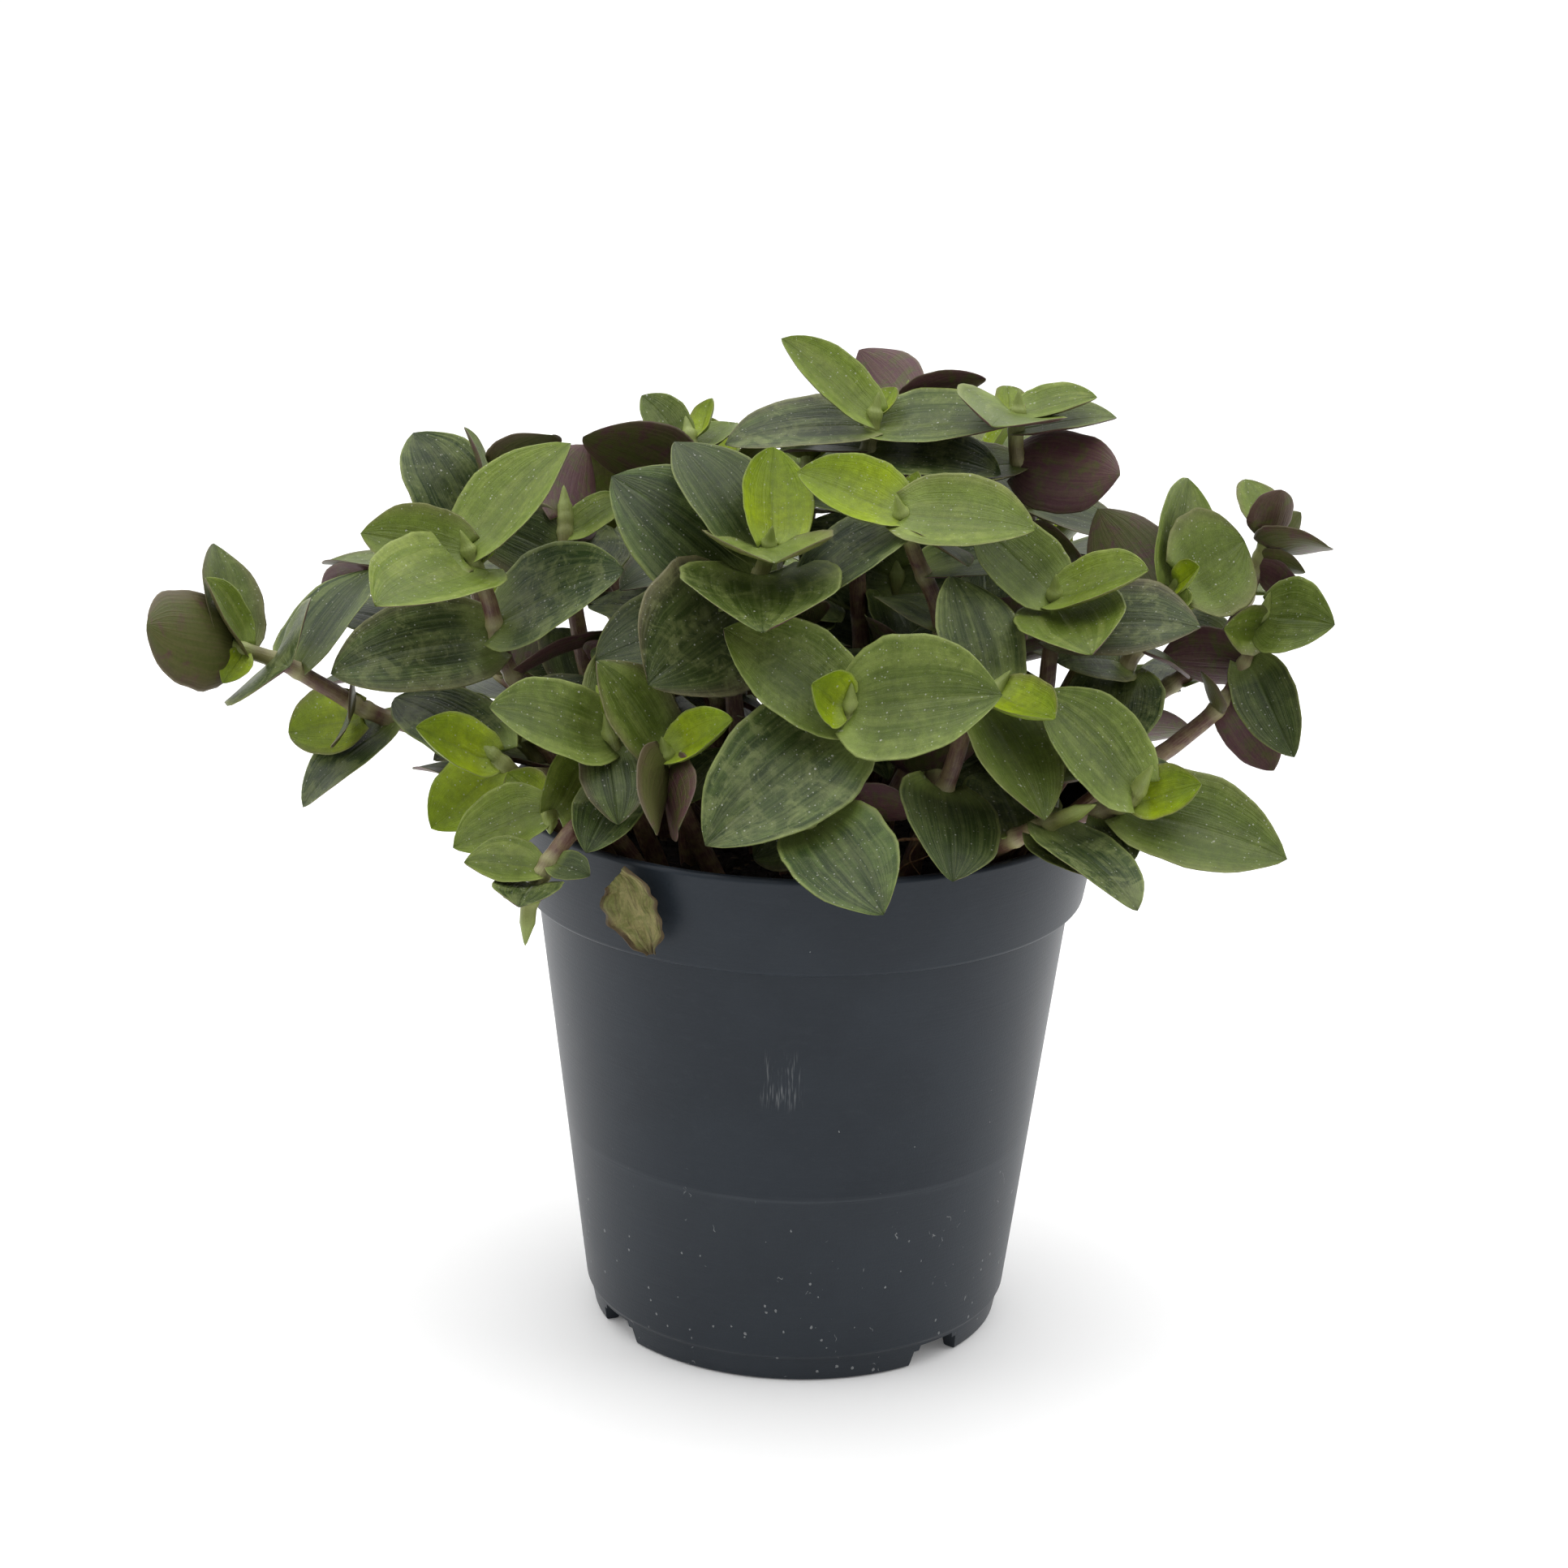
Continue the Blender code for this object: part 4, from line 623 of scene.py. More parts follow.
def pot_profile():
    """Outer and inner outlines of the pot, from the floor's middle round to it again."""
    slope = (WALL_TOP_R - WALL_LOW_R) / (POT_H - LIP_H - CREASE_Z)
    inner = lambda z: WALL_LOW_R + slope * (z - CREASE_Z) - WALL_T
    step = POT_H - LIP_H + 1.4
    outer = [(FOOT_R, 0.0), (WALL_LOW_R - 0.5, CREASE_Z - 0.5), (WALL_LOW_R, CREASE_Z), (WALL_TOP_R, POT_H - LIP_H),
             (LIP_LOW_R - 0.35, POT_H - LIP_H), (LIP_LOW_R, POT_H - LIP_H + 0.4), (RIM_R - 0.25, POT_H - 0.5), (RIM_R - 0.6, POT_H)]
    inside = [(RIM_R - 1.5, POT_H), (RIM_R - 1.75, POT_H - 0.4), (LIP_LOW_R - 1.3, step + 0.6), (inner(step) - 0.2, step - 0.6),
              (inner(FLOOR_Z + FLOOR_T + 2.0), FLOOR_Z + FLOOR_T + 2.0), (inner(FLOOR_Z + FLOOR_T) - 1.4, FLOOR_Z + FLOOR_T)]
    under = [(FOOT_R - FOOT_T - 0.3, FLOOR_Z), (FOOT_R - FOOT_T, 0.0)]
    return outer, inside, under


def make_pot():
    """A turned shell with a raised floor and a foot ring."""
    outer, inside, under = pot_profile()
    bm = bmesh.new()
    ring = outer + inside
    below = under
    rows = []
    for k in range(SIDES):
        a = 2 * math.pi * (k + 0.5) / SIDES
        rows.append([bm.verts.new((r * math.cos(a), r * math.sin(a), z)) for r, z in below[::-1] + ring])
    # order: foot inner bottom, floor underside edge, then the outside up and the inside down
    n = len(rows[0])
    order = [1, 0] + list(range(2, n))
    for k in range(SIDES):
        a, b = rows[k], rows[(k + 1) % SIDES]
        for i, j in zip(order, order[1:]):
            bm.faces.new((a[i], b[i], b[j], a[j]))
    bm.faces.new([r[order[-1]] for r in rows])
    bm.faces.new([r[order[0]] for r in rows][::-1])
    bmesh.ops.recalc_face_normals(bm, faces=bm.faces[:])
    return bm


def make_soil():
    slope = (WALL_TOP_R - WALL_LOW_R) / (POT_H - LIP_H - CREASE_Z)
    inner = lambda z: WALL_LOW_R + slope * (z - CREASE_Z) - WALL_T - SOIL_GAP
    base = FLOOR_Z + FLOOR_T + SOIL_GAP
    step = POT_H - LIP_H + 0.4
    profile = [(inner(base) - 2.1, base), (inner(base + 2.2), base + 2.2), (inner(step), step), (inner(step) + 0.2, SOIL_TOP - 1.2),
               (inner(step) - 3.0, SOIL_TOP - 0.5), (22.0, SOIL_TOP - 0.1)]
    sides = 40
    bm = bmesh.new()
    rows = []
    for k in range(sides):
        a = 2 * math.pi * k / sides
        row = []
        for i, (r, z) in enumerate(profile):
            lump = 0.35 * math.sin(3 * a + i) + 0.25 * math.sin(7 * a + 2 * i) if i > 3 else 0.0
            row.append(bm.verts.new((r * math.cos(a), r * math.sin(a), z + lump - (0.3 if i > 3 else 0))))
        rows.append(row)
    for k in range(sides):
        a, b = rows[k], rows[(k + 1) % sides]
        for i in range(len(profile) - 1):
            bm.faces.new((a[i], b[i], b[i + 1], a[i + 1]))
    bm.faces.new([r[0] for r in rows][::-1])
    top = bm.verts.new((0, 0, SOIL_TOP))
    for k in range(sides):
        bm.faces.new((rows[k][-1], rows[(k + 1) % sides][-1], top))
    bmesh.ops.recalc_face_normals(bm, faces=bm.faces[:])
    return bm


def make_strand(points, r0, r1, sides=5):
    """A thin tapering strand through the points."""
    path = Path(points)
    bm = bmesh.new()
    n = max(3, int(path.length / 3))
    u = path.heading(0).orthogonal().normalized()
    rings = []
    for k in range(n + 1):
        s = path.length * k / n
        t = path.heading(s)
        u = (u - t * u.dot(t)).normalized()
        v = t.cross(u)
        r = r0 + (r1 - r0) * k / n
        rings.append([bm.verts.new(path.place(s) + (u * math.cos(a) + v * math.sin(a)) * r) for a in (2 * math.pi * i / sides for i in range(sides))])
    for a, b in zip(rings, rings[1:]):
        for i in range(sides):
            bm.faces.new((a[i], a[(i + 1) % sides], b[(i + 1) % sides], b[i]))
    bm.faces.new(rings[0][::-1])
    bm.faces.new(rings[-1])
    bmesh.ops.recalc_face_normals(bm, faces=bm.faces[:])
    return bm


# The dead leaf: centre line down over the lip, half widths, and which way its edges curl
DEAD_LINE = ((-26, -38.5, 81), (-25, -39, 80), (-24, -39.5, 77.5), (-22.5, -40, 74), (-21, -40, 70))
DEAD_HALF = (2.5, 4.6, 4.6, 3.4, 0.8)


def make_dead_leaf():
    path = Path(DEAD_LINE)
    bm = bmesh.new()
    rings = []
    n = 9
    for k in range(n + 1):
        s = path.length * k / n
        t = path.heading(s)
        f = k / n * (len(DEAD_HALF) - 1)
        i = min(int(f), len(DEAD_HALF) - 2)
        half = DEAD_HALF[i] + (DEAD_HALF[i + 1] - DEAD_HALF[i]) * (f - i)
        p = path.place(s)
        out = vec(p.x, p.y, 0).normalized()
        side = t.cross(out).normalized()
        up = side.cross(t).normalized()
        wave = 0.5 * math.sin(1.9 * k)
        ring = []
        for across, high in ((-1, 0.9), (-0.45, 0.1 + wave * 0.4), (0, 0.35), (0.5, 0.1 - wave * 0.4), (1, 1.1)):
            ring.append(bm.verts.new(p + side * (half * across) + up * (high * min(1, half / 2))))
        for across, high in ((0.5, -0.35 - wave * 0.4), (0, -0.1), (-0.45, -0.35 + wave * 0.4)):
            ring.append(bm.verts.new(p + side * (half * across) + up * (high * min(1, half / 2) - 0.25)))
        rings.append(ring)
    for a, b in zip(rings, rings[1:]):
        for i in range(8):
            bm.faces.new((a[i], a[(i + 1) % 8], b[(i + 1) % 8], b[i]))
    bm.faces.new(rings[0][::-1])
    bm.faces.new(rings[-1])
    bmesh.ops.recalc_face_normals(bm, faces=bm.faces[:])
    return bm


def tree_of(bm):
    bm = bm.copy()
    bmesh.ops.triangulate(bm, faces=bm.faces[:])
    tree = BVHTree.FromBMesh(bm)
    bm.free()
    return tree


def grow_plant(pot_tree, soil_tree, dead_tree):
    plant = Plant([pot_tree, soil_tree, dead_tree])
    shoots = [(plant.add(name, points), rows) for name, points, rows in SHOOTS]
    rear = [(plant.add(name, far_side_points(root, tip)), root, tip, count, first, size) for name, root, tip, count, first, size in BACK_SHOOTS]
    inner = [(plant.add(name, (root, [(a + b) / 2 + c for a, b, c in zip(root, tip, (0.6, -0.4, 1))], tip)), first, count) for name, root, tip, first, count in INNER_SHOOTS]
    for shoot, rows in shoots:
        for row in rows:
            plant.grow(shoot, row)
    # the rear shoots: a pair of rows of leaves, turned a little at each node, larger and lower away from the tip
    for shoot, root, tip, count, first, size in rear:
        for k in range(count):
            s = shoot.path.length - 0.8 - (1.2 * k if k < 3 else 2.4 + 6.2 * (k - 2))
            if s < 9:
                break
            heading = first + 180 * (k % 2) + 23 * (k // 2)
            rise = 55 - 14 * k if k < 4 else 8 - 3 * k
            length = min(23, 10 + 4.2 * k) * size
            plant.grow(shoot, (s, heading, rise, length, 0.72 * length, 12 * math.sin(2.1 * k + first), max(0.05, 0.8 - 0.25 * k)), must=False)
    for shoot, first, count in inner:
        for k in range(count):
            s = shoot.path.length - 0.8 - (1.0 * k if k < 2 else 1.0 + 4.5 * (k - 1))
            if s < 3:
                break
            length = min(19, 11 + 3.2 * k)
            plant.grow(shoot, (s, first + 165 * (k % 2) + 31 * (k // 2), 38 - 14 * k, length, 0.74 * length, 14 * math.sin(2.3 * k + first), max(0.0, 0.25 - 0.1 * k)), must=False)
    # hidden leaves lower down on the shoots of the near side, which turn to the back where there is room
    for number, (shoot, rows) in enumerate(shoots):
        k = 0
        s = shoot.path.length - 12
        while s > 12 and k < 3 and not shoot.name.endswith(("trailing", "edge_low")):
            heading = 90 + 70 * math.sin(1.7 * k + number)
            if all(abs(cell[0] - s) > 3.5 for cell in shoot.cells):
                plant.grow(shoot, (s, heading, 4, 17, 12.5, 10 * math.sin(number + k), 0.05), tries=NUDGES[:160], must=False)
            k += 1
            s -= 9
    return plant


# ---------------------------------------------------------------------------------------------
# Camera, light and floor
# ---------------------------------------------------------------------------------------------

def make_camera():
    """The view from in front, a little above, looking 17 degrees down."""
    pitch, yaw, roll = 0.2973, -0.0066, 0.0218
    fw = Vector((math.sin(yaw) * math.cos(pitch), math.cos(yaw) * math.cos(pitch), -math.sin(pitch)))
    r = fw.cross(Vector((0, 0, 1))).normalized()
    u = r.cross(fw)
    r2 = r * math.cos(roll) + u * math.sin(roll)
    u2 = u * math.cos(roll) - r * math.sin(roll)
    data = bpy.data.cameras.new("camera")
    data.sensor_width = 36.0
    data.lens = 79.78
    data.clip_start = 0.01
    data.clip_end = 50.0
    cam = bpy.data.objects.new("camera", data)
    bpy.context.scene.collection.objects.link(cam)
    m = Matrix.Identity(4)
    for i in range(3):
        m[i][0], m[i][1], m[i][2] = r2[i], u2[i], -fw[i]
    m[0][3], m[1][3], m[2][3] = (AXIS_X + 0.0) / 1000, (AXIS_Y - 499.52) / 1000, 0.23619
    cam.matrix_world = m
    bpy.context.scene.camera = cam


def make_light():
    scene = bpy.context.scene
    scene.view_settings.view_transform = "Standard"
    world = bpy.data.worlds.new("studio")
    scene.world = world
    world.use_nodes = True
    t = world.node_tree
    t.nodes.clear()
    out = t.nodes.new("ShaderNodeOutputWorld")
    coord = t.nodes.new("ShaderNodeTexCoord")
    sep = t.nodes.new("ShaderNodeSeparateXYZ")
    t.links.new(coord.outputs["Generated"], sep.inputs[0])
    back = t.nodes.new("ShaderNodeMapRange")      # darker on the viewer's side, as in a light tent open to the front
    back.interpolation_type = "SMOOTHSTEP"
    back.inputs["From Min"].default_value = -0.9
    back.inputs["From Max"].default_value = 0.35
    back.inputs["To Min"].default_value = WORLD_FRONT
    back.inputs["To Max"].default_value = WORLD_BACK
    t.links.new(sep.outputs["Y"], back.inputs["Value"])
    top = t.nodes.new("ShaderNodeMapRange")
    top.interpolation_type = "SMOOTHSTEP"
    top.inputs["From Min"].default_value = 0.15
    top.inputs["From Max"].default_value = 0.95
    top.inputs["To Min"].default_value = 0.0
    top.inputs["To Max"].default_value = WORLD_TOP
    t.links.new(sep.outputs["Z"], top.inputs["Value"])
    both = t.nodes.new("ShaderNodeMath")
    both.operation = "ADD"
    t.links.new(back.outputs[0], both.inputs[0])
    t.links.new(top.outputs[0], both.inputs[1])
    lit = t.nodes.new("ShaderNodeBackground")
    lit.inputs["Color"].default_value = (1, 1, 1, 1)
    t.links.new(both.outputs[0], lit.inputs["Strength"])
    seen = t.nodes.new("ShaderNodeBackground")
    seen.inputs["Color"].default_value = (1, 1, 1, 1)
    seen.inputs["Strength"].default_value = 1.0
    path = t.nodes.new("ShaderNodeLightPath")
    mix = t.nodes.new("ShaderNodeMixShader")
    t.links.new(path.outputs["Is Camera Ray"], mix.inputs[0])
    t.links.new(lit.outputs[0], mix.inputs[1])
    t.links.new(seen.outputs[0], mix.inputs[2])
    t.links.new(mix.outputs[0], out.inputs["Surface"])

    def area(name, place, target, size, power):
        data = bpy.data.lights.new(name, "AREA")
        data.shape = "RECTANGLE"
        data.size, data.size_y = size
        data.energy = power
        lamp = bpy.data.objects.new(name, data)
        lamp.location = place
        lamp.rotation_mode = "QUATERNION"
        lamp.rotation_quaternion = (Vector(target) - Vector(place)).to_track_quat("-Z", "Y")
        scene.collection.objects.link(lamp)

    for args in LAMPS:
        area(*args)

    mesh = bpy.data.meshes.new("floor")
    bm = bmesh.new()
    for x, y in ((-4, -4), (4, -4), (4, 4), (-4, 4)):
        bm.verts.new((x, y, -0.0001))
    bm.faces.new(bm.verts[:])
    bm.to_mesh(mesh)
    bm.free()
    floor = bpy.data.objects.new("floor", mesh)
    scene.collection.objects.link(floor)
    g = Graph("floor_white")
    g.principled(color=FLOOR_COLOUR, rough=0.6, specular=0.2, Emission_Color=(1.0, 1.0, 1.0), Emission_Strength=FLOOR_GLOW)
    mesh.materials.append(g.mat)


# ---------------------------------------------------------------------------------------------
# Materials
# ---------------------------------------------------------------------------------------------

class Graph:
    """Short names for the shader nodes used below."""

    def __init__(self, name):
        self.mat = bpy.data.materials.new(name)
        self.mat.use_nodes = True
        self.t = self.mat.node_tree
        self.t.nodes.clear()
        self.out = self.t.nodes.new("ShaderNodeOutputMaterial")

    def put(self, socket, value):
        if isinstance(value, bpy.types.NodeSocket):
            self.t.links.new(value, socket)
        elif value is not None:
            if isinstance(value, (tuple, list)) and len(value) == 3 and len(socket.default_value) == 4:
                value = (*value, 1.0)
            socket.default_value = value

    def attr(self, name):
        n = self.t.nodes.new("ShaderNodeAttribute")
        n.attribute_type = "GEOMETRY"
        n.attribute_name = name
        return n.outputs["Vector"]

    def place(self):
        return self.t.nodes.new("ShaderNodeTexCoord").outputs["Object"]

    def split(self, v):
        n = self.t.nodes.new("ShaderNodeSeparateXYZ")
        self.put(n.inputs[0], v)
        return n.outputs[0], n.outputs[1], n.outputs[2]

    def join(self, x, y, z):
        n = self.t.nodes.new("ShaderNodeCombineXYZ")
        for i, v in enumerate((x, y, z)):
            self.put(n.inputs[i], v)
        return n.outputs[0]

    def m(self, op, a, b=None, c=None, clamp=False):
        n = self.t.nodes.new("ShaderNodeMath")
        n.operation = op
        n.use_clamp = clamp
        for i, v in enumerate((a, b, c)):
            if v is not None:
                self.put(n.inputs[i], v)
        return n.outputs[0]

    def scaled(self, v, k):
        n = self.t.nodes.new("ShaderNodeVectorMath")
        n.operation = "MULTIPLY"
        self.put(n.inputs[0], v)
        self.put(n.inputs[1], k if isinstance(k, tuple) else (k, k, k))
        return n.outputs[0]

    def step(self, v, lo, hi, a=0.0, b=1.0):
        n = self.t.nodes.new("ShaderNodeMapRange")
        n.interpolation_type = "SMOOTHSTEP"
        self.put(n.inputs["Value"], v)
        for k, x in (("From Min", lo), ("From Max", hi), ("To Min", a), ("To Max", b)):
            self.put(n.inputs[k], x)
        return n.outputs[0]

    def noise(self, v, scale, detail=2.0, rough=0.5, distort=0.0):
        n = self.t.nodes.new("ShaderNodeTexNoise")
        n.noise_dimensions = "3D"
        self.put(n.inputs["Vector"], v)
        for k, x in (("Scale", scale), ("Detail", detail), ("Roughness", rough), ("Distortion", distort)):
            self.put(n.inputs[k], x)
        return n.outputs["Fac"]

    def cells(self, v, scale, feature="F1"):
        n = self.t.nodes.new("ShaderNodeTexVoronoi")
        n.feature = feature
        self.put(n.inputs["Vector"], v)
        self.put(n.inputs["Scale"], scale)
        return n

    def mix(self, f, a, b):
        n = self.t.nodes.new("ShaderNodeMix")
        n.data_type = "RGBA"
        self.put(n.inputs[0], f)
        self.put(n.inputs[6], a)
        self.put(n.inputs[7], b)
        return n.outputs[2]

    def gain(self, colour, k):
        n = self.t.nodes.new("ShaderNodeVectorMath")
        n.operation = "SCALE"
        self.put(n.inputs[0], colour)
        self.put(n.inputs["Scale"], k)
        return n.outputs[0]

    def bump(self, height, strength, distance, normal=None):
        n = self.t.nodes.new("ShaderNodeBump")
        n.inputs["Strength"].default_value = strength
        n.inputs["Distance"].default_value = distance
        self.put(n.inputs["Height"], height)
        if normal is not None:
            self.put(n.inputs["Normal"], normal)
        return n.outputs[0]

    def principled(self, color, rough, normal=None, specular=0.5, **more):
        n = self.t.nodes.new("ShaderNodeBsdfPrincipled")
        self.put(n.inputs["Base Color"], color)
        self.put(n.inputs["Roughness"], rough)
        self.put(n.inputs["Specular IOR Level"], specular)
        if normal is not None:
            self.put(n.inputs["Normal"], normal)
        for k, v in more.items():
            self.put(n.inputs[k.replace("_", " ")], v)
        self.t.links.new(n.outputs[0], self.out.inputs["Surface"])
        return n


def leaf_upper_material():
    """Waxy upper side: parallel stripes that follow the outline, pale patches, a thin pale margin,
    a fine granular surface, a few dust specks and tiny cells painted pale as glints. Young leaves are yellow-green,
    painted brighter for the light that shines through them."""
    g = Graph("leaf_upper")
    lf, lp = g.attr("lf"), g.attr("lp")
    t, v, youth = g.split(lf)
    x, y, seed = g.split(lp)
    av = g.m("ABSOLUTE", v)
    own = g.m("FRACT", g.m("MULTIPLY", seed, 3.17))
    other = g.m("FRACT", g.m("MULTIPLY", seed, 7.91))
    streaks = g.noise(g.join(g.m("MULTIPLY", v, 4.2), g.m("MULTIPLY", t, 0.8), seed), 1.0, 1.5, 0.5, 0.25)
    striped = g.step(g.m("FRACT", g.m("MULTIPLY", seed, 5.77)), 0.25, 0.8, 0.25, 1.0)
    broken = g.step(g.noise(lp, 0.30, 3.0, 0.65, 0.6), 0.36, 0.60, 0.30, 1.0)
    stripe = g.m("MULTIPLY", g.step(streaks, 0.44, 0.60), g.m("MULTIPLY", striped, broken))
    veins = g.noise(g.join(g.m("MULTIPLY", v, 21.0), g.m("MULTIPLY", t, 1.6), seed), 1.0, 1.0, 0.6)
    vein = g.step(veins, 0.42, 0.62)
    grey = g.step(g.m("FRACT", g.m("MULTIPLY", seed, 2.39)), 0.15, 0.65)
    patch = g.m("MULTIPLY", g.step(g.noise(lp, 0.26, 4.0, 0.68, 0.7), 0.46, 0.62), grey)
    small = g.noise(lp, 0.75, 3.0, 0.7)
    grain = g.noise(lp, 8.0, 1.0, 0.6)

    dark = g.mix(own, UPPER_DARK_A, UPPER_DARK_B)
    mid = g.mix(other, UPPER_MID_A, UPPER_MID_B)
    col = g.mix(stripe, dark, mid)
    col = g.mix(g.m("MULTIPLY", patch, 0.38), col, UPPER_PALE)
    col = g.mix(g.m("MULTIPLY", vein, 0.16), col, UPPER_PALE)
    # younger leaves: lighter, then yellow-green, then lime; this is their own colour, painted brighter to stand in for
    # light shining through the thin blade
    young = g.step(youth, 0.17, 0.42)
    fresh = g.mix(g.m("MULTIPLY", stripe, 0.6), UPPER_FRESH_A, UPPER_FRESH_B)
    col = g.mix(g.m("MULTIPLY", young, 0.9), col, fresh)
    lime = g.mix(g.step(t, 0.0, 0.9), LIME_BASE, LIME_TIP)
    lime = g.mix(g.m("MULTIPLY", stripe, 0.35), lime, LIME_STRIPE)
    col = g.mix(g.step(youth, 0.5, 0.88), col, lime)
    # a light base where the leaf clasps the stem, and the middle line
    rib = g.m("MULTIPLY", g.step(av, 0.07, 0.0), g.step(t, 0.9, 0.1))
    col = g.mix(g.m("MULTIPLY", rib, 0.35), col, UPPER_RIB)
    col = g.mix(g.m("MULTIPLY", g.step(t, 0.2, 0.0), 0.55), col, UPPER_BASE)
    # margin
    edge = g.step(av, 0.90, 0.985)
    tinge = g.step(own, 0.55, 0.95)
    col = g.mix(g.m("MULTIPLY", g.step(av, 0.55, 1.0), g.m("MULTIPLY", tinge, 0.35)), col, MARGIN_PURPLE)
    col = g.mix(g.m("MULTIPLY", edge, 0.48), col, g.mix(g.m("MULTIPLY", tinge, 0.6), MARGIN_PALE, MARGIN_PURPLE))
    col = g.gain(col, g.m("ADD", g.m("MULTIPLY", small, 0.95), g.m("ADD", g.m("MULTIPLY", grain, 0.45), 0.30)))
    # the middle of the blade is a little deeper in colour than the parts towards the margin
    col = g.gain(col, g.step(av, 0.1, 0.95, 0.84, 1.14))
    # dust specks, and tiny cells painted pale as glints (a painted highlight)
    dots = g.cells(lp, 0.75)
    pick = g.split(dots.outputs["Color"])[0]
    size = g.m("MULTIPLY", g.m("SUBTRACT", pick, 0.60, clamp=True), 0.32)
    ragged = g.m("ADD", dots.outputs["Distance"], g.m("MULTIPLY", g.m("SUBTRACT", g.noise(lp, 4.0, 1.0), 0.5), 0.22))
    dust = g.m("MULTIPLY", g.m("LESS_THAN", ragged, size), g.step(g.noise(lp, 0.22, 1.0), 0.32, 0.50))
    fluff = g.cells(lp, 2.2)
    faint = g.m("LESS_THAN", fluff.outputs["Distance"], g.m("MULTIPLY", g.m("SUBTRACT", g.split(fluff.outputs["Color"])[1], 0.72, clamp=True), 1.1))
    tiny = g.cells(lp, 6.5)
    glint = g.m("MULTIPLY", g.m("LESS_THAN", tiny.outputs["Distance"], 0.2), g.m("GREATER_THAN", g.split(tiny.outputs["Color"])[1], 0.72))
    # the tiny cells are a painted glint: pale colour standing in for sparkles of light on the waxy surface
    col = g.mix(g.m("MULTIPLY", glint, 0.17), col, DUST_AND_GLINT)
    col = g.mix(g.m("MULTIPLY", faint, 0.32), col, DUST_AND_GLINT)
    col = g.mix(g.m("MULTIPLY", dust, 0.48), col, DUST_AND_GLINT)
    rough = g.m("ADD", g.m("MULTIPLY", small, 0.16), UPPER_ROUGH)
    rough = g.m("ADD", rough, g.m("MULTIPLY", dust, 0.3), clamp=True)
    height = g.m("ADD", g.m("MULTIPLY", grain, 0.035), g.m("MULTIPLY", veins, 0.11))
    height = g.m("ADD", height, g.m("MULTIPLY", g.step(av, 0.0, 0.10), 0.10))
    height = g.m("ADD", height, g.m("MULTIPLY", small, 0.10))
    g.principled(col, rough, g.bump(height, 0.85, 0.001), specular=UPPER_SPEC)
    return g.mat


def leaf_under_material():
    """Underside: dull purple, mottled with olive, with finer veins. Young leaves are greener."""
    g = Graph("leaf_under")
    lf, lp = g.attr("lf"), g.attr("lp")
    t, v, youth = g.split(lf)
    x, y, seed = g.split(lp)
    av = g.m("ABSOLUTE", v)
    own = g.m("FRACT", g.m("MULTIPLY", seed, 5.3))
    mottle = g.noise(lp, 0.42, 4.0, 0.68, 0.5)
    small = g.noise(lp, 1.6, 2.0, 0.6)
    grain = g.noise(lp, 8.0, 1.0, 0.6)
    veins = g.noise(g.join(g.m("MULTIPLY", v, 16.0), g.m("MULTIPLY", t, 1.5), seed), 1.0, 1.0, 0.6)
    share = g.m("ADD", mottle, g.m("MULTIPLY", g.m("SUBTRACT", own, 0.5), 0.34))
    col = g.mix(g.step(share, 0.42, 0.66), UNDER_OLIVE, UNDER_PURPLE)
    col = g.mix(g.m("MULTIPLY", g.step(veins, 0.4, 0.65), 0.3), col, UNDER_VEIN)
    col = g.mix(g.m("MULTIPLY", g.step(av, 0.6, 1.0), 0.45), col, UNDER_PURPLE)
    col = g.mix(g.step(youth, 0.3, 0.85), col, UNDER_YOUNG)
    col = g.mix(g.m("MULTIPLY", g.step(av, 0.93, 0.99), 0.5), col, UNDER_EDGE)
    col = g.gain(col, g.m("ADD", g.m("MULTIPLY", small, 0.5), g.m("ADD", g.m("MULTIPLY", grain, 0.4), 0.55)))
    height = g.m("ADD", g.m("MULTIPLY", grain, 0.05), g.m("MULTIPLY", veins, 0.14))
    g.principled(col, g.m("ADD", g.m("MULTIPLY", small, 0.2), 0.36), g.bump(height, 0.8, 0.001), specular=0.28)
    return g.mat


def stem_material():
    """Fleshy stem: purple-brown between the nodes, pale green at the nodes and near the tip."""
    g = Graph("stem")
    lf, lp = g.attr("lf"), g.attr("lp")
    along, node, tip = g.split(lf)
    wave = g.noise(lp, 0.5, 3.0, 0.6)
    lines = g.noise(g.scaled(lp, (5.0, 0.35, 1.0)), 1.0, 2.0, 0.6)
    col = g.mix(g.step(wave, 0.38, 0.66), STEM_PURPLE, STEM_OLIVE)
    col = g.mix(g.m("MULTIPLY", g.step(lines, 0.45, 0.7), 0.45), col, STEM_LINE)
    col = g.mix(g.m("MULTIPLY", node, 0.75), col, STEM_NODE)
    col = g.mix(g.m("MULTIPLY", tip, 0.8), col, STEM_TIP)
    grain = g.noise(lp, 6.0, 2.0, 0.6)
    col = g.gain(col, g.m("ADD", g.m("MULTIPLY", grain, 0.5), 0.75))
    height = g.m("ADD", g.m("MULTIPLY", lines, 0.12), g.m("MULTIPLY", grain, 0.05))
    g.principled(col, g.m("ADD", g.m("MULTIPLY", wave, 0.15), 0.34), g.bump(height, 0.8, 0.001), specular=0.45)
    return g.mat


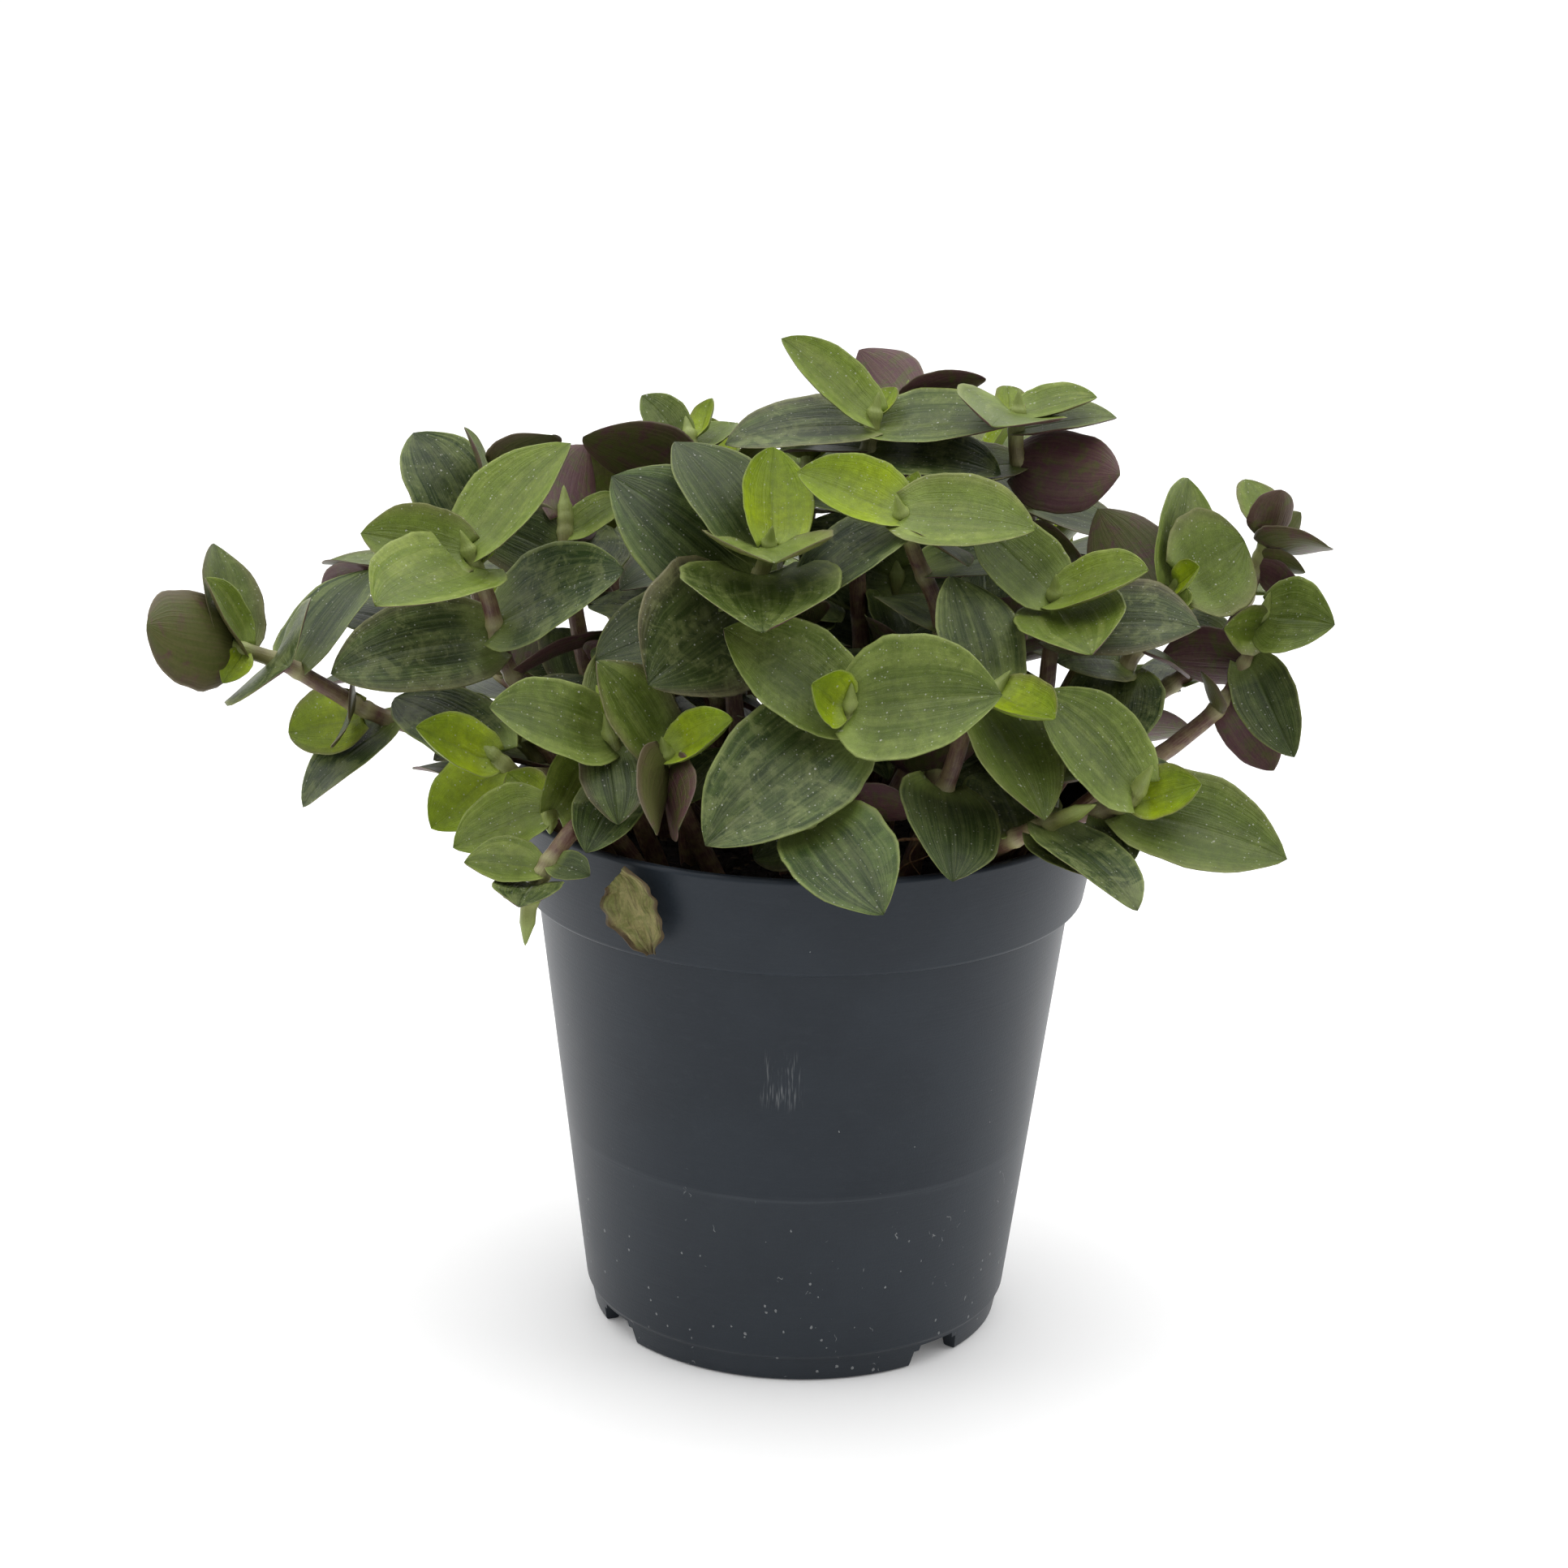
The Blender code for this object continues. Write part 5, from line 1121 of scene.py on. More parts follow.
def pot_material():
    """Satin dark slate polypropylene: a faint moulded band, scuffs, pale specks low down and dried splashes."""
    g = Graph("pot_plastic_fine")
    p = g.scaled(g.place(), 1000.0)
    x, y, z = g.split(p)
    ang = g.m("ARCTAN2", g.m("SUBTRACT", y, AXIS_Y), g.m("SUBTRACT", x, AXIS_X))
    around = g.m("MULTIPLY", ang, 38.0)
    skin = g.join(around, z, g.m("MULTIPLY", 0.0, 0.0))
    cloud = g.noise(p, 0.045, 3.0, 0.55)
    cloth = g.noise(g.scaled(p, (1.0, 1.0, 2.6)), 0.35, 3.0, 0.6)
    fine = g.noise(p, 3.5, 2.0, 0.6)
    turned = g.noise(g.join(g.m("MULTIPLY", ang, 1.2), g.m("MULTIPLY", z, 2.2), 0.0), 1.0, 3.0, 0.7)
    col = g.mix(g.step(cloud, 0.35, 0.65), POT_A, POT_B)
    col = g.mix(g.m("MULTIPLY", g.step(cloth, 0.5, 0.75), 0.25), col, POT_C)
    # the lower third, below the moulded band, is a touch lighter and dusty
    low = g.step(z, 31.2, 30.4)
    col = g.mix(g.m("MULTIPLY", low, 0.12), col, POT_DUST)
    line = g.m("MULTIPLY", g.step(z, 30.0, 30.7), g.step(z, 31.6, 30.9))
    col = g.mix(g.m("MULTIPLY", g.m("MULTIPLY", line, g.step(turned, 0.35, 0.65)), 0.30), col, POT_DUST)
    # pale specks, most of them low down and to the right of the front
    spread = g.m("ADD", g.m("MULTIPLY", g.step(z, 36.0, 14.0), 0.10), g.m("MULTIPLY", g.step(g.noise(p, 0.07, 1.0), 0.52, 0.66), 0.055))
    specks = g.cells(g.scaled(p, (1.0, 1.0, 0.8)), 0.62)
    pick = g.split(specks.outputs["Color"])[0]
    warp = g.noise(p, 2.4, 2.0, 0.7)
    near = g.m("ADD", specks.outputs["Distance"], g.m("MULTIPLY", g.m("SUBTRACT", warp, 0.5), 0.28))
    speck = g.m("MULTIPLY", g.m("LESS_THAN", near, g.m("MULTIPLY", spread, 0.9)), g.m("GREATER_THAN", pick, g.m("SUBTRACT", 0.97, g.m("MULTIPLY", spread, 4.2))))
    col = g.mix(g.m("MULTIPLY", speck, 0.42), col, POT_SPECK)
    # small curved scratches
    curls = g.cells(g.join(around, g.m("MULTIPLY", z, 0.55), 0.0), 0.16)
    ringed = g.m("ABSOLUTE", g.m("SUBTRACT", g.m("ADD", curls.outputs["Distance"], g.m("MULTIPLY", g.m("SUBTRACT", g.noise(p, 0.5, 2.0), 0.5), 0.5)), 0.33))
    scratch = g.m("MULTIPLY", g.m("LESS_THAN", ringed, 0.008), g.m("MULTIPLY", g.step(g.noise(p, 0.42, 2.0, 0.7), 0.60, 0.66), g.step(z, 40.0, 22.0)))
    col = g.mix(g.m("MULTIPLY", scratch, 0.35), col, POT_SPECK)
    # a rubbed spot of short upright strokes on the front of the wall
    fx = g.m("SUBTRACT", x, AXIS_X - 2.4)
    fz = g.m("SUBTRACT", z, 50.5)
    front = g.m("LESS_THAN", y, AXIS_Y)
    spot = g.m("MULTIPLY", g.m("MULTIPLY", g.step(g.m("ABSOLUTE", fx), 3.6, 1.2), g.step(g.m("ABSOLUTE", fz), 5.4, 2.2)), front)
    strokes = g.noise(g.join(g.m("MULTIPLY", x, 2.6), g.m("MULTIPLY", z, 0.16), 3.0), 1.0, 2.0, 0.75)
    rub = g.m("MULTIPLY", spot, g.step(strokes, 0.52, 0.70))
    col = g.mix(g.m("MULTIPLY", rub, 0.30), col, POT_SPECK)
    col = g.gain(col, g.m("ADD", g.m("MULTIPLY", fine, 0.20), 0.90))
    rough = g.m("ADD", g.m("ADD", g.m("MULTIPLY", cloud, 0.12), POT_ROUGH), g.m("MULTIPLY", g.m("ADD", speck, rub, clamp=True), 0.2))
    height = g.m("ADD", g.m("MULTIPLY", fine, 0.03), g.m("MULTIPLY", turned, 0.05))
    height = g.m("ADD", height, g.m("MULTIPLY", speck, 0.05))
    g.principled(col, rough, g.bump(height, 0.6, 0.001), specular=POT_SPEC)
    return g.mat


def soil_material():
    g = Graph("soil_fine")
    p = g.scaled(g.place(), 1000.0)
    clump = g.noise(p, 0.5, 4.0, 0.65)
    fine = g.noise(p, 3.0, 4.0, 0.7)
    fibre = g.noise(g.scaled(p, (0.5, 2.6, 1.0)), 1.2, 3.0, 0.7)
    col = g.mix(g.step(clump, 0.35, 0.7), SOIL_A, SOIL_B)
    col = g.mix(g.m("MULTIPLY", g.step(fibre, 0.6, 0.72), 0.6), col, SOIL_FIBRE)
    chips = g.cells(p, 1.1)
    chip = g.m("GREATER_THAN", g.split(chips.outputs["Color"])[0], 0.95)
    col = g.mix(g.m("MULTIPLY", chip, 0.5), col, SOIL_CHIP)
    col = g.gain(col, g.m("ADD", g.m("MULTIPLY", fine, 1.0), 0.5))
    height = g.m("ADD", g.m("MULTIPLY", clump, 0.5), g.m("MULTIPLY", fine, 0.3))
    g.principled(col, g.m("ADD", g.m("MULTIPLY", fine, 0.2), 0.78), g.bump(height, 1.0, 0.001), specular=0.25)
    return g.mat


def withered_material():
    """Dried leaf: olive-straw with brown veins, dark brittle edges."""
    g = Graph("withered_fine")
    lf, lp = g.attr("lf"), g.attr("lp")
    t, v, side = g.split(lf)
    av = g.m("ABSOLUTE", v)
    lines = g.noise(g.join(g.m("MULTIPLY", v, 9.0), g.m("MULTIPLY", t, 2.0), 0.0), 1.0, 3.0, 0.7)
    patch = g.noise(lp, 0.35, 4.0, 0.7, 0.6)
    fine = g.noise(lp, 3.0, 3.0, 0.7)
    col = g.mix(g.step(patch, 0.36, 0.62), DEAD_OLIVE, DEAD_STRAW)
    col = g.mix(g.m("MULTIPLY", g.step(lines, 0.5, 0.68), 0.65), col, DEAD_BROWN)
    rim = g.step(g.m("ADD", av, g.m("MULTIPLY", g.m("SUBTRACT", patch, 0.5), 0.8)), 0.72, 0.98)
    rim = g.m("MAXIMUM", rim, g.step(g.m("ADD", t, g.m("MULTIPLY", g.m("SUBTRACT", patch, 0.5), 0.3)), 0.82, 0.98))
    col = g.mix(g.m("MULTIPLY", rim, 0.85), col, DEAD_BROWN)
    col = g.gain(col, g.m("ADD", g.m("MULTIPLY", fine, 0.8), 0.6))
    height = g.m("ADD", g.m("MULTIPLY", lines, 0.3), g.m("MULTIPLY", fine, 0.1))
    g.principled(col, 0.62, g.bump(height, 1.0, 0.001), specular=0.3)
    return g.mat


def root_material():
    g = Graph("root_fine")
    p = g.scaled(g.place(), 1000.0)
    n = g.noise(p, 1.2, 3.0, 0.7)
    fine = g.noise(p, 7.0, 2.0, 0.7)
    col = g.mix(g.step(n, 0.35, 0.65), ROOT_A, ROOT_B)
    g.principled(g.gain(col, g.m("ADD", g.m("MULTIPLY", fine, 0.6), 0.7)), 0.7, g.bump(fine, 0.8, 0.0002), specular=0.3)
    return g.mat


# ---------------------------------------------------------------------------------------------
# Fine meshes
# ---------------------------------------------------------------------------------------------

LEAF_ROWS = np.array([0.0, 0.02, 0.05, 0.09, 0.14, 0.2, 0.27, 0.34, 0.42, 0.5, 0.58, 0.66, 0.73, 0.8, 0.86, 0.91, 0.95, 0.98])
LEAF_COLS = np.array([-1.0, -0.965, -0.88, -0.74, -0.55, -0.33, -0.13, 0.0, 0.13, 0.33, 0.55, 0.74, 0.88, 0.965, 1.0])


def chance(*key):
    """A fixed number from 0 to 1 for each key."""
    v = 0.0
    for k, q in enumerate(key):
        v += (k + 1) * 12.9898 * q + 4.1414 * k
    v = math.sin(v) * 43758.5453
    return v - math.floor(v)


def fine_outline(t):
    """The leaf's half width as a smooth curve through the same points as its plain outline."""
    x = np.array([p[0] for p in OUTLINE])
    y = np.array([p[1] for p in OUTLINE])
    m = np.gradient(y, x)
    m[0] = (y[1] - y[0]) / (x[1] - x[0]) * 1.2
    m[-1] = (y[-1] - y[-2]) / (x[-1] - x[-2]) * 0.85
    i = np.clip(np.searchsorted(x, t, side="right") - 1, 0, len(x) - 2)
    h = x[i + 1] - x[i]
    f = (t - x[i]) / h
    return (y[i] * (1 + 2 * f) * (1 - f) ** 2 + h * m[i] * f * (1 - f) ** 2 + y[i + 1] * f * f * (3 - 2 * f) + h * m[i + 1] * f * f * (f - 1))


class Mesh:
    """Vertices, faces, material numbers and the two vectors that the materials read."""

    def __init__(self):
        self.v, self.f, self.k, self.lf, self.lp, self.n = [], [], [], [], [], 0

    def add(self, verts, faces, kinds, lf, lp):
        self.v.append(np.asarray(verts, float))
        self.f += [tuple(int(i) + self.n for i in face) for face in faces]
        self.k += list(kinds)
        self.lf.append(np.asarray(lf, float))
        self.lp.append(np.asarray(lp, float))
        self.n += len(verts)

    def build(self, name, materials, sharp=None):
        mesh = bpy.data.meshes.new(name)
        v = (np.concatenate(self.v) + np.array([AXIS_X, AXIS_Y, 0.0])) * 0.001
        mesh.from_pydata(v.tolist(), [], self.f)
        for label, rows in (("lf", self.lf), ("lp", self.lp)):
            layer = mesh.attributes.new(label, "FLOAT_VECTOR", "POINT")
            layer.data.foreach_set("vector", np.concatenate(rows).astype(np.float32).ravel())
        for mat in materials:
            mesh.materials.append(mat)
        mesh.polygons.foreach_set("material_index", self.k)
        mesh.polygons.foreach_set("use_smooth", [True] * len(self.f))
        if sharp:
            mesh.set_sharp_from_angle(angle=math.radians(sharp))
        mesh.update()
        obj = bpy.data.objects.new(name, mesh)
        bpy.context.scene.collection.objects.link(obj)
        return obj


def leaf_mesh(mesh, leaf, root, out, seed):
    """A closed blade: boat-shaped across, arched along, with lobes at its base that clasp the stem."""
    d, s, n, length, width, youth = leaf
    d, s, n, root, out = (np.array(q) for q in (d, s, n, root, out))
    t, v = LEAF_ROWS[:, None], LEAF_COLS[None, :]
    half = width / 2 * fine_outline(LEAF_ROWS)[:, None]
    half = half * (1 + 0.018 * np.sin(9 * t + 40 * seed) + 0.012 * np.sin(21 * t + 90 * seed + 2 * np.sign(v)))
    bow = 0.05 - 0.10 * youth
    lift = 0.9 * (1 - t) ** 3 * np.minimum(1.0, 8 * t)
    cup = 0.17 + 0.42 * youth
    theta = 2 * math.atan(cup)
    x = half * np.sin(v * theta) / math.sin(theta)
    z = half * (1 - np.cos(v * theta)) / math.sin(theta)
    # the blade flattens towards its middle, and its margins are a little wavy
    flat = 0.20 * (1 - youth) * np.sin(math.pi * t) ** 2
    z = z * (1 - flat)
    z = z + (1 - youth) * 0.018 * width * np.abs(v) ** 3 * np.sin(7.5 * t + 25 * seed + 1.7 * np.sign(v))
    twist = math.radians(9) * (chance(seed, 3.1) - 0.5) * (t - 0.4)
    c, w = np.cos(twist), np.sin(twist)
    x, z = x * c - z * w, z * c + x * w
    lobe = min(2.3, 0.13 * length) * np.abs(v) ** 1.6 * np.clip(1 - t / 0.2, 0, 1) ** 2
    droop = (1 - youth) * 0.022 * length * np.clip((t - 0.6) / 0.4, 0, 1) ** 2 * (0.5 + chance(seed, 8.0))
    sway = 0.02 * length * (chance(seed, 5.5) - 0.5) * np.sin(math.pi * t)
    p = (root + d * (length * t - lobe)[..., None] + n * (bow * length * np.sin(math.pi * t) - droop + z)[..., None]
         + out * (lift + 0 * v)[..., None] + s * (x + sway)[..., None])
    tip = root + d * length + n * (-(1 - youth) * 0.022 * length * (0.5 + chance(seed, 8.0)))
    # the upper and lower faces stand off the middle sheet by half the local thickness
    along = np.gradient(p, axis=0)
    across = np.gradient(p, axis=1)
    normal = np.cross(along, across)
    normal /= np.maximum(np.linalg.norm(normal, axis=2, keepdims=True), 1e-9)
    thick = 0.5 * (0.30 + 0.26 * min(1.0, width / 14)) * (1 - np.abs(v) ** 3.2) ** 0.6 * (0.35 + 0.65 * np.clip((1 - t) / 0.25, 0, 1) ** 0.7)
    groove = 0.05 * np.exp(-(v / 0.07) ** 2) * np.clip(1 - t, 0, 1)
    top = p + normal * (thick - groove)[..., None]
    low = p - normal * (thick + 0.6 * groove)[..., None]
    rows, cols = p.shape[:2]
    number = lambda k, j: k * cols + j
    verts = [top.reshape(-1, 3)]
    base = rows * cols
    lows = {}
    pick = []
    for k in range(rows):
        for j in range(cols):
            if j in (0, cols - 1):
                lows[k, j] = number(k, j)
            else:
                lows[k, j] = base + len(pick)
                pick.append(low[k, j])
    verts.append(np.array(pick))
    verts.append(tip[None, :])
    end = base + len(pick)
    faces, kinds = [], []
    for k in range(rows - 1):
        for j in range(cols - 1):
            faces.append((number(k, j), number(k + 1, j), number(k + 1, j + 1), number(k, j + 1)))
            kinds.append(0)
            faces.append((lows[k, j], lows[k, j + 1], lows[k + 1, j + 1], lows[k + 1, j]))
            kinds.append(1)
    k = rows - 1
    for j in range(cols - 1):
        faces.append((number(k, j), end, number(k, j + 1)))
        faces.append((lows[k, j], lows[k, j + 1], end))
        kinds += [0, 1]
        ring = [number(0, j), number(0, j + 1), lows[0, j + 1], lows[0, j]]
        ring = [a for i, a in enumerate(ring) if a not in ring[:i]]
        faces.append(tuple(ring))
        kinds.append(0)
    tt = np.broadcast_to(t, (rows, cols))
    vv = np.broadcast_to(v, (rows, cols))
    lf = np.stack([tt, vv, np.full_like(tt, youth)], axis=-1)
    xx = vv * half
    shift = 31.0 * chance(seed, 1.0)
    lp = np.stack([xx + shift, tt * length + 17.0 * chance(seed, 2.0), np.full_like(tt, 40.0 * seed)], axis=-1)
    inner = [(kk, jj) for kk in range(rows) for jj in range(cols) if jj not in (0, cols - 1)]
    last = np.array([[1.0, 0.0, youth]])
    lfs = np.concatenate([lf.reshape(-1, 3), np.array([lf[a] for a in inner]), last])
    lps = np.concatenate([lp.reshape(-1, 3), np.array([lp[a] for a in inner]), lp[-1, cols // 2][None, :]])
    mesh.add(np.concatenate(verts), faces, kinds, lfs, lps)


def stem_mesh(mesh, shoot, seed, sides=14):
    """A round stem, thicker at the nodes. It starts inside the soil and ends in a point."""
    path = shoot.path
    stations = sorted(cell[0] for cell in shoot.cells)
    first = path.heading(0)
    steps = [-5.0, -2.5] + list(np.arange(0.0, path.length - 0.4, 0.9))
    for s in stations:
        steps += [s - 0.8, s - 0.4, s, s + 0.4, s + 0.8, s + 1.1]
    steps = sorted(x for x in steps if x < path.length - 0.3)
    kept = [steps[0]]
    for x in steps[1:]:
        if x - kept[-1] > 0.22:
            kept.append(x)
    kept += [path.length - 0.2, path.length + 0.45, path.length + 1.2, path.length + 1.9, path.length + 2.4]
    u = shoot.start.copy()
    verts, lf, lp = [], [], []
    for s in kept:
        if s < 0:
            p, t = path.place(0) + first * s, first
        elif s > path.length:
            t = path.heading(path.length)
            p = path.place(path.length) + t * (s - path.length)
        else:
            p, t = path.place(s), path.heading(s)
        u = (u - t * u.dot(t)).normalized()
        w = t.cross(u)
        r = shoot.radius(min(max(s, 0), path.length))
        near = min([abs(s - q) for q in stations] + [99.0])
        swell = 0.0
        for q in stations:
            swell = max(swell, 0.16 * math.exp(-((s - q) / 0.75) ** 2))
        r = r * (0.97 + swell)
        if s > path.length - 0.25:
            r *= (0.82, 0.66, 0.46, 0.26, 0.04)[kept.index(s) - len(kept) + 5]
        node = max(0.0, 1 - near / 1.5) ** 0.7
        tip = min(1.0, max(0.0, 1 - (path.length - s) / 9.0))
        for i in range(sides):
            a = 2 * math.pi * i / sides
            q = p + (u * math.cos(a) + w * math.sin(a)) * r * (1 + 0.02 * math.sin(3 * a + s))
            verts.append(tuple(q))
            lf.append((max(0.0, s) / path.length, node, tip))
            lp.append((i * 2 * math.pi * 1.4 / sides if i <= sides / 2 else (sides - i) * 2 * math.pi * 1.4 / sides, s, 40 * seed))
    n = len(kept)
    faces = []
    for k in range(n - 1):
        for i in range(sides):
            j = (i + 1) % sides
            faces.append((k * sides + i, k * sides + j, (k + 1) * sides + j, (k + 1) * sides + i))
    faces.append(tuple(range(sides))[::-1])
    faces.append(tuple((n - 1) * sides + i for i in range(sides)))
    mesh.add(verts, faces, [2] * len(faces), lf, lp)


def fine_shoot(shoot, number, materials):
    mesh = Mesh()
    stem_mesh(mesh, shoot, chance(number, 0.37))
    for k, (leaf, root, out) in enumerate(shoot.leaves):
        leaf_mesh(mesh, leaf, root, out, chance(number + 0.5, k + 0.25))
    obj = mesh.build(shoot.name + "_fine", materials)
    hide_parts(shoot.name)
    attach(obj, "root")


def rounded(points, radius, steps=4):
    """The outline with its corners rounded."""
    out = [points[0]]
    for a, b, c in zip(points, points[1:], points[2:]):
        a, b, c = (np.array(q, float) for q in (a, b, c))
        la, lc = np.linalg.norm(a - b), np.linalg.norm(c - b)
        r = min(radius, 0.42 * la, 0.42 * lc)
        p, q = b + (a - b) / la * r, b + (c - b) / lc * r
        for i in range(steps + 1):
            f = i / steps
            out.append(tuple((1 - f) ** 2 * p + 2 * f * (1 - f) * b + f * f * q))
    out.append(points[-1])
    return out


def turned(profile, sides):
    """A closed solid turned about the axis from an outline that starts and ends on it."""
    bm = bmesh.new()
    rows = []
    for r, z in profile:
        if r < 1e-6:
            rows.append([bm.verts.new((0, 0, z))])
        else:
            rows.append([bm.verts.new((r * math.cos(a), r * math.sin(a), z)) for a in (2 * math.pi * k / sides for k in range(sides))])
    for a, b in zip(rows, rows[1:]):
        for k in range(sides):
            j = (k + 1) % sides
            if len(a) == 1:
                bm.faces.new((a[0], b[j], b[k]))
            elif len(b) == 1:
                bm.faces.new((a[k], a[j], b[0]))
            else:
                bm.faces.new((a[k], a[j], b[j], b[k]))
    bmesh.ops.recalc_face_normals(bm, faces=bm.faces[:])
    return bm


def as_object(name, bm, materials, sharp=None):
    for v in bm.verts:
        v.co = (v.co + Vector((AXIS_X, AXIS_Y, 0))) * 0.001
    mesh = bpy.data.meshes.new(name)
    bm.to_mesh(mesh)
    bm.free()
    for mat in materials:
        mesh.materials.append(mat)
    mesh.polygons.foreach_set("use_smooth", [True] * len(mesh.polygons))
    if sharp:
        mesh.set_sharp_from_angle(angle=math.radians(sharp))
    obj = bpy.data.objects.new(name, mesh)
    bpy.context.scene.collection.objects.link(obj)
    return obj


def cut_by(obj, tools, sharp):
    """Cuts the tools out of obj and keeps the result as its own mesh."""
    for tool in tools:
        mod = obj.modifiers.new("cut", "BOOLEAN")
        mod.operation = "DIFFERENCE"
        mod.solver = "EXACT"
        mod.object = tool
    bpy.context.view_layer.update()
    graph = bpy.context.evaluated_depsgraph_get()
    mesh = bpy.data.meshes.new_from_object(obj.evaluated_get(graph))
    obj.modifiers.clear()
    old = obj.data
    obj.data = mesh
    bpy.data.meshes.remove(old)
    for tool in tools:
        bpy.data.objects.remove(tool, do_unlink=True)
    mesh.polygons.foreach_set("use_smooth", [True] * len(mesh.polygons))
    mesh.set_sharp_from_angle(angle=math.radians(sharp))


def notch_tool(angle):
    a = math.radians(angle)
    half = math.radians(NOTCH_SPAN / 2)
    bm = bmesh.new()
    corners = []
    for z, more in ((-1.0, 0.0), (CREASE_Z - 1.0, math.radians(2.0))):
        for r in (FOOT_R - FOOT_T - 2.0, FOOT_R + 3.0):
            for s in (-1, 1):
                t = a + s * (half - more)
                corners.append(bm.verts.new((r * math.cos(t), r * math.sin(t), z)))
    for face in ((0, 1, 3, 2), (4, 6, 7, 5), (0, 4, 5, 1), (2, 3, 7, 6), (0, 2, 6, 4), (1, 5, 7, 3)):
        bm.faces.new([corners[i] for i in face])
    edges = [e for e in bm.edges if abs(e.verts[0].co.z - e.verts[1].co.z) < 1e-6 and e.verts[0].co.z > 0 and (e.verts[0].co.xy.length - e.verts[1].co.xy.length) ** 2 > 1]
    bmesh.ops.bevel(bm, geom=edges, offset=0.9, segments=4, affect="EDGES")
    bmesh.ops.recalc_face_normals(bm, faces=bm.faces[:])
    return as_object("tool_notch", bm, [])


def drain_tool(x, y):
    bm = bmesh.new()
    bmesh.ops.create_cone(bm, cap_ends=True, segments=40, radius1=DRAIN_R, radius2=DRAIN_R, depth=8.0, matrix=Matrix.Translation((x, y, FLOOR_Z)))
    return as_object("tool_drain", bm, [])


def fine_pot(material):
    outer, inside, under = pot_profile()
    outline_rz = [(0.0, FLOOR_Z)] + under + outer + inside + [(0.0, FLOOR_Z + FLOOR_T)]
    obj = as_object("pot_fine", turned(rounded(outline_rz, 0.45), 256), [material], sharp=40)
    tools = [notch_tool(a) for a in NOTCHES]
    for k in range(4):
        a = math.radians(45 + 90 * k)
        tools.append(drain_tool(DRAIN_AT * math.cos(a), DRAIN_AT * math.sin(a)))
    cut_by(obj, tools, 40)
    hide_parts("pot")
    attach(obj, "root")


def bumps(x, y, seed):
    """A smooth height made of a few crossing waves."""
    return (math.sin(0.9 * x + 1.3 * seed) * math.cos(1.1 * y + seed) + 0.6 * math.sin(1.9 * x - 1.3 * y + 2.1 * seed)
            + 0.4 * math.sin(3.7 * x + 2.9 * y + 0.7 * seed) + 0.3 * math.sin(5.3 * y - 4.1 * x)) / 2.3


def fine_soil(material):
    """The root ball with a crumbly top and loose grains."""
    slope = (WALL_TOP_R - WALL_LOW_R) / (POT_H - LIP_H - CREASE_Z)
    inner = lambda z: WALL_LOW_R + slope * (z - CREASE_Z) - WALL_T - SOIL_GAP
    base = FLOOR_Z + FLOOR_T + SOIL_GAP
    step = POT_H - LIP_H + 0.4
    side = [(inner(base) - 2.1, base), (inner(base + 2.2), base + 2.2), (inner(step), step), (inner(step) + 0.2, SOIL_TOP - 1.4)]
    rings = side + [(inner(step) + 0.2 - 0.95 * k, SOIL_TOP - 1.0 + 0.5 * min(1, k / 6)) for k in range(1, int((inner(step)) / 0.95))]
    profile = [(0.0, base)] + rings + [(0.0, SOIL_TOP - 0.4)]
    bm = turned(profile, 200)
    for v in bm.verts:
        if v.co.z > SOIL_TOP - 1.2:
            x, y = v.co.x, v.co.y
            v.co.z += 0.42 * bumps(x, y, 1.0) + 0.22 * bumps(2.3 * x, 2.3 * y, 5.0) + 0.12 * bumps(4.7 * x, 4.9 * y, 9.0)
    for k in range(900):
        a, q = 2 * math.pi * chance(k, 1.5), math.sqrt(chance(k, 2.5))
        r = 38.2 * q
        size = 0.22 + 0.75 * chance(k, 3.5) ** 3
        centre = Vector((r * math.cos(a), r * math.sin(a), SOIL_TOP - 0.55 + 0.5 * chance(k, 4.5) + 0.35 * size))
        made = bmesh.ops.create_icosphere(bm, subdivisions=1, radius=size, matrix=Matrix.Translation(centre))
        for i, v in enumerate(made["verts"]):
            d = v.co - centre
            v.co = centre + Vector((d.x * (0.7 + 0.6 * chance(k, i)), d.y * (0.7 + 0.6 * chance(i, k + 0.3)), d.z * (0.6 + 0.4 * chance(i + 0.7, k))))
    obj = as_object("soil_fine", bm, [material], sharp=50)
    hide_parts("soil")
    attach(obj, "root")


